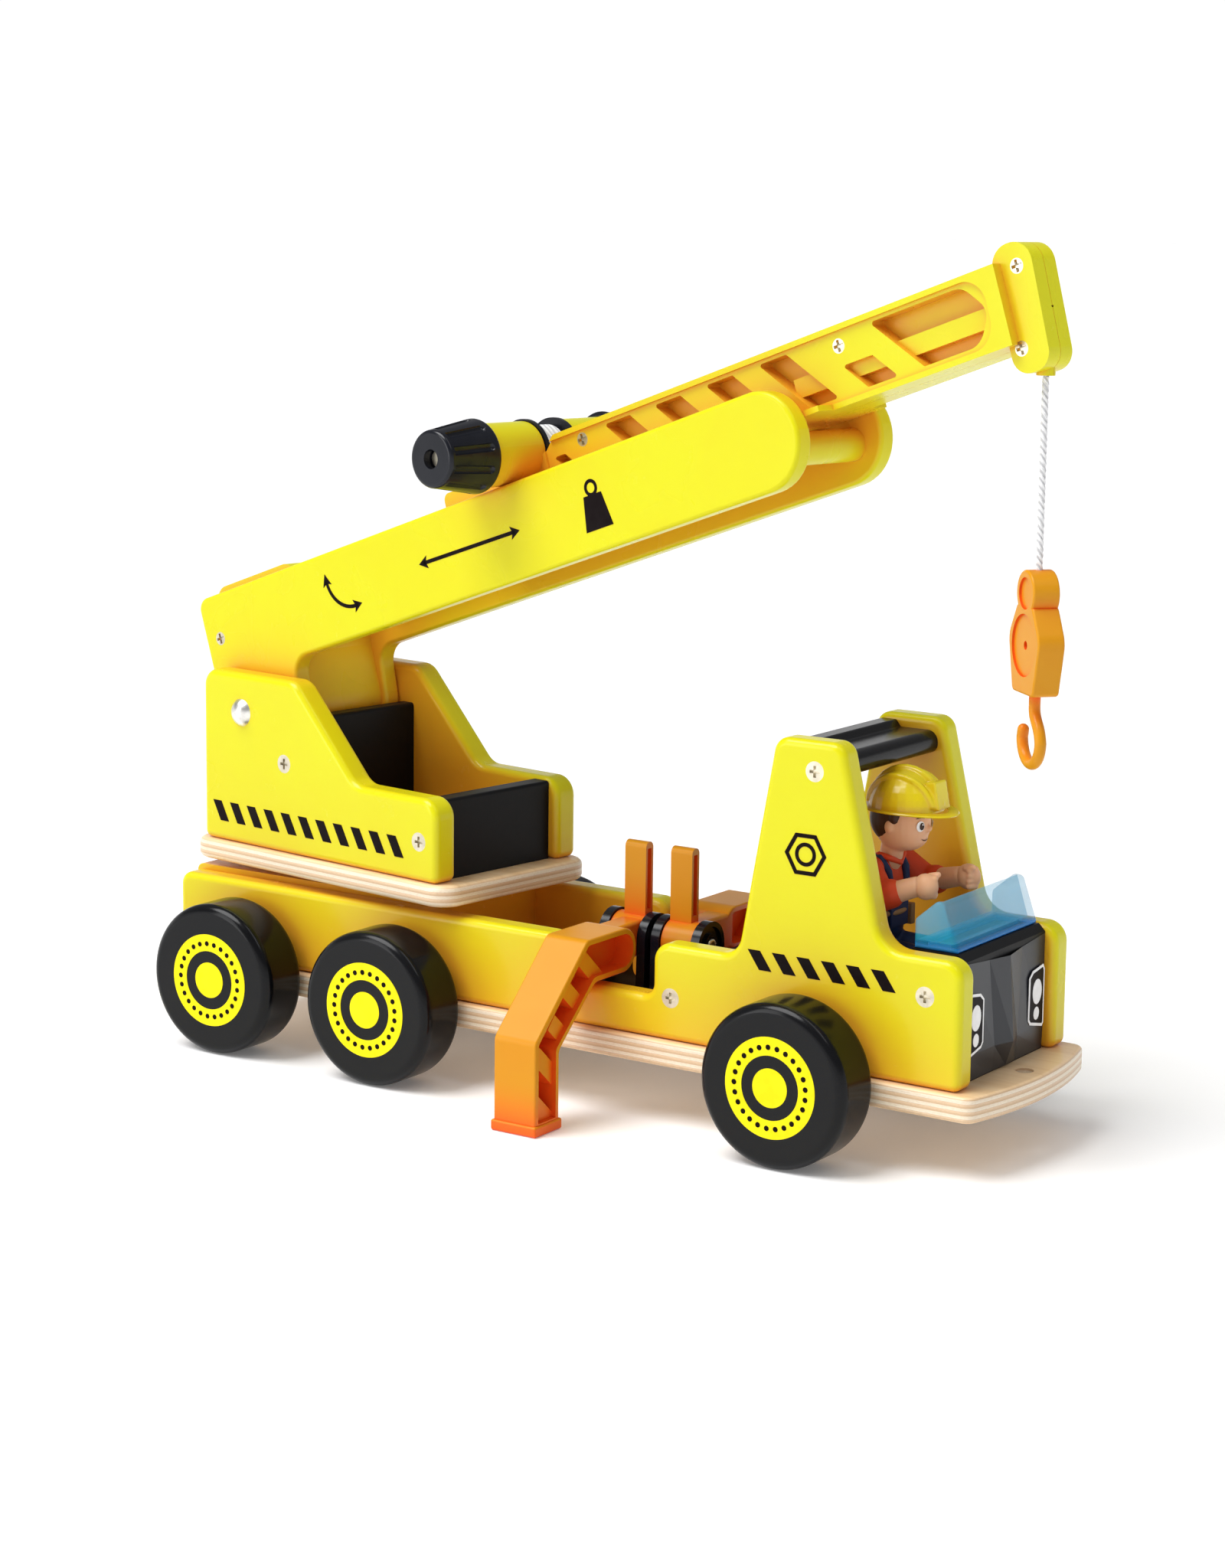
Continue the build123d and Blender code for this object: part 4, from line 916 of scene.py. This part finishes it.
def build_helmet():
    """Hard hat: ribbed dome, plain badge plate and a brim that dips in front."""
    dome = HEAD + Vector((1.5, 0, 5.0))
    reach, half, rise = 14.1, 13.2, 14.4
    shapes = [
        ("ball", dome, (reach, half, rise)),
        ("slab", dome + Vector((12.7, 0, 5.9)), (2.0, 4.3, 5.2), -11),
    ]
    for lean, thick in ((-6.6, 1.35), (0.0, 1.7), (6.6, 1.35)):
        line = []
        for k in range(13):
            angle = math.radians(12 + 156 * k / 12)
            x = dome.x + reach * math.cos(angle) * (1 - abs(lean) / 90)
            z = dome.z + rise * math.sin(angle) * math.sqrt(1 - (lean / half) ** 2)
            line.append(Vector((x, lean * (0.6 + 0.4 * math.sin(angle)), z)))
        for start, end in zip(line, line[1:]):
            shapes.append(("limb", start, end, thick, thick))
    piece = blob("figure_helmet", shapes, 0.4, 1, helmet_yellow, ["driver_helmet"])
    bm = bmesh.new()
    bm.from_mesh(piece.data)
    cut = TRUCK @ Vector((0, 0, dome.z))
    whole = list(bm.verts) + list(bm.edges) + list(bm.faces)
    bmesh.ops.bisect_plane(bm, geom=whole, plane_co=cut, plane_no=(0, 0, -1), clear_outer=True)
    bmesh.ops.holes_fill(bm, edges=[e for e in bm.edges if e.is_boundary])
    bm.to_mesh(piece.data)
    bm.free()
    piece.data.shade_smooth()
    piece.data.set_sharp_from_angle(angle=math.radians(50))
    bm = bmesh.new()
    rings = []
    for reach, rise in ((0.80, 0.75), (1.0, 0.62), (1.02, 0.25), (1.0, -0.15), (0.84, -0.05)):
        loop = []
        for k in range(72):
            angle = 2 * math.pi * k / 72
            long = 17.4 + 1.6 * max(0.0, math.cos(angle)) ** 2
            droop = -0.9 * max(0.0, math.cos(angle)) ** 2 * reach
            loop.append(bm.verts.new((
                dome.x + 1.0 + long * reach * math.cos(angle),
                15.1 * reach * math.sin(angle),
                dome.z + rise + droop,
            )))
        rings.append(loop)
    for j in range(len(rings)):
        first, second = rings[j], rings[(j + 1) % len(rings)]
        for k in range(72):
            nxt = (k + 1) % 72
            bm.faces.new((first[k], first[nxt], second[nxt], second[k]))
    finish_mesh("helmet_brim", bm, TRUCK, helmet_yellow, "chassis")


def build_clothes():
    blob("figure_shirt", [
        ("ball", (263.5, 0, 80.0), (7.4, 11.0, 9.0)),
        ("ball", (263.8, 0, 92.0), (7.0, 10.6, 12.0)),
        ("limb", (264.5, -8.0, 99.0), (264.5, 8.0, 99.0), 4.6, 4.6),
    ], 0.55, 4, shirt_red, ["driver_shirt"])
    blob("figure_collar", [
        ("limb", (269.3, -5.6, 103.0), (271.2, 0.2, 100.6), 1.2, 1.0),
        ("limb", (269.3, 5.6, 103.0), (271.2, -0.2, 100.6), 1.2, 1.0),
        ("limb", (266.0, -6.6, 104.0), (269.3, -5.6, 103.0), 1.1, 1.2),
        ("limb", (266.0, 6.6, 104.0), (269.3, 5.6, 103.0), 1.1, 1.2),
    ], 0.4, 2, shirt_red)
    straps = [("slab", (270.6, 0, 84.0), (0.9, 6.4, 7.2), 0)]
    for side in (-1, 1):
        straps.append(("limb", (270.8, side * 5.6, 90.0), (269.8, side * 6.4, 98.0), 1.5, 1.5))
        straps.append(("limb", (269.8, side * 6.4, 98.0), (266.6, side * 7.0, 103.0), 1.5, 1.4))
        straps.append(("limb", (266.6, side * 7.0, 103.0), (261.8, side * 6.4, 102.4), 1.4, 1.4))
        straps.append(("limb", (261.8, side * 6.4, 102.4), (257.4, side * 4.6, 92.0), 1.4, 1.4))
        straps.append(("limb", (257.4, side * 4.6, 92.0), (256.6, side * 3.0, 80.0), 1.4, 1.4))
    blob("figure_bib", straps, 0.45, 2, navy)
    for side in (-1, 1):
        bm = bmesh.new()
        ring(bm, (side * 5.7, 90.6), 0.7, 1.5, 0.7, lambda a, b, h: (271.9 + h, a, b), 24)
        finish_mesh("strap_buckle_" + ("right" if side < 0 else "left"), bm, TRUCK, zinc, "chassis")
    trousers = [
        ("ball", (263.0, 0, 69.4), (7.6, 11.2, 6.8)),
        ("ball", (263.5, 0, 76.5), (7.7, 11.1, 7.4)),
    ]
    for side in (-1, 1):
        trousers.append(("limb", (265.0, side * 6.0, 68.4), (281.8, side * 7.4, 68.0), 5.6, 5.0))
        trousers.append(("limb", (281.8, side * 7.4, 68.0), (283.0, side * 7.4, 42.0), 5.0, 4.5))
    blob("figure_trousers", trousers, 0.6, 4, navy, ["driver_trousers"])
    cuffs = []
    for side in (-1, 1):
        for k in range(12):
            a0, a1 = 2 * math.pi * k / 12, 2 * math.pi * (k + 1) / 12
            cuffs.append((
                "limb",
                (283.0 + 4.4 * math.cos(a0), side * 7.4 + 4.4 * math.sin(a0), 40.6),
                (283.0 + 4.4 * math.cos(a1), side * 7.4 + 4.4 * math.sin(a1), 40.6),
                0.9, 0.9,
            ))
    blob("figure_cuffs", cuffs, 0.45, 2, navy)
    belt = []
    for k in range(24):
        a0, a1 = 2 * math.pi * k / 24, 2 * math.pi * (k + 1) / 24
        belt.append((
            "limb",
            (263.4 + 7.9 * math.cos(a0), 11.3 * math.sin(a0), 82.4),
            (263.4 + 7.9 * math.cos(a1), 11.3 * math.sin(a1), 82.4),
            1.1, 1.1,
        ))
    belt.append(("slab", (266.4, -11.8, 79.4), (4.3, 1.5, 3.9), 0))
    belt.append(("slab", (266.4, 11.8, 79.4), (4.3, 1.5, 3.9), 0))
    belt.append(("limb", (262.6, -13.2, 82.4), (270.2, -13.2, 82.4), 0.8, 0.8))
    blob("figure_belt", belt, 0.45, 2, tan_leather)
    boots = []
    for side in (-1, 1):
        boots.append(("ball", (284.6, side * 7.4, 36.2), (7.4, 4.6, 4.2)))
        boots.append(("ball", (287.8, side * 7.4, 35.4), (4.6, 4.4, 3.4)))
        boots.append(("limb", (283.2, side * 7.4, 36.5), (283.2, side * 7.4, 39.6), 4.2, 4.0))
        boots.append(("slab", (285.4, side * 7.4, 32.6), (6.8, 4.5, 0.8), 0))
    blob("figure_boots", boots, 0.5, 2, boot_brown, ["driver_boots"])


def build_arms():
    sleeves, forearms, hands = [], [], []
    for side, reach in ((-1, 288.0), (1, 292.0)):
        shoulder = Vector((265.0, side * 12.4, 98.4))
        elbow = Vector((272.4, side * 17.2, 91.0))
        cuff = elbow.lerp(Vector((reach - 3.0, side * 12.8, 95.6)), 0.30)
        wrist = Vector((reach - 3.0, side * 12.8, 95.6))
        sleeves.append(("limb", shoulder, elbow, 5.6, 5.8))
        sleeves.append(("limb", elbow, cuff, 5.6, 5.4))
        forearms.append(("limb", elbow, wrist, 4.4, 3.7))
        palm = Vector((reach + 0.6, side * 12.4, 96.0))
        hands.append(("ball", palm, (4.7, 4.1, 4.8)))
        for k in range(4):
            knuckle = palm + Vector((3.0, side * -0.6, 3.0 - 2.0 * k))
            curl = palm + Vector((2.0, side * -3.2, 2.8 - 1.9 * k))
            hands.append(("limb", knuckle, curl, 1.35, 1.2))
        thumb = palm + Vector((0.4, side * -2.6, 3.4))
        hands.append(("limb", thumb, palm + Vector((3.2, side * -3.0, 4.2)), 1.35, 1.15))
    blob("figure_sleeves", sleeves, 0.5, 4, shirt_red)
    blob("figure_forearms", forearms, 0.5, 3, skin, ["driver_arms"])
    blob("figure_hands", hands, 0.4, 2, skin, ["driver_hands"])


build_head()
build_helmet()
build_clothes()
build_arms()


# ---- floor ----------------------------------------------------------------------------
bm = bmesh.new()
bmesh.ops.create_grid(bm, x_segments=24, y_segments=24, size=40.0)
floor = finish_mesh("floor", bm, Matrix.Translation((0, 0, -0.00015)), floor_look("floor"), None, False)
add_camera()
add_studio()
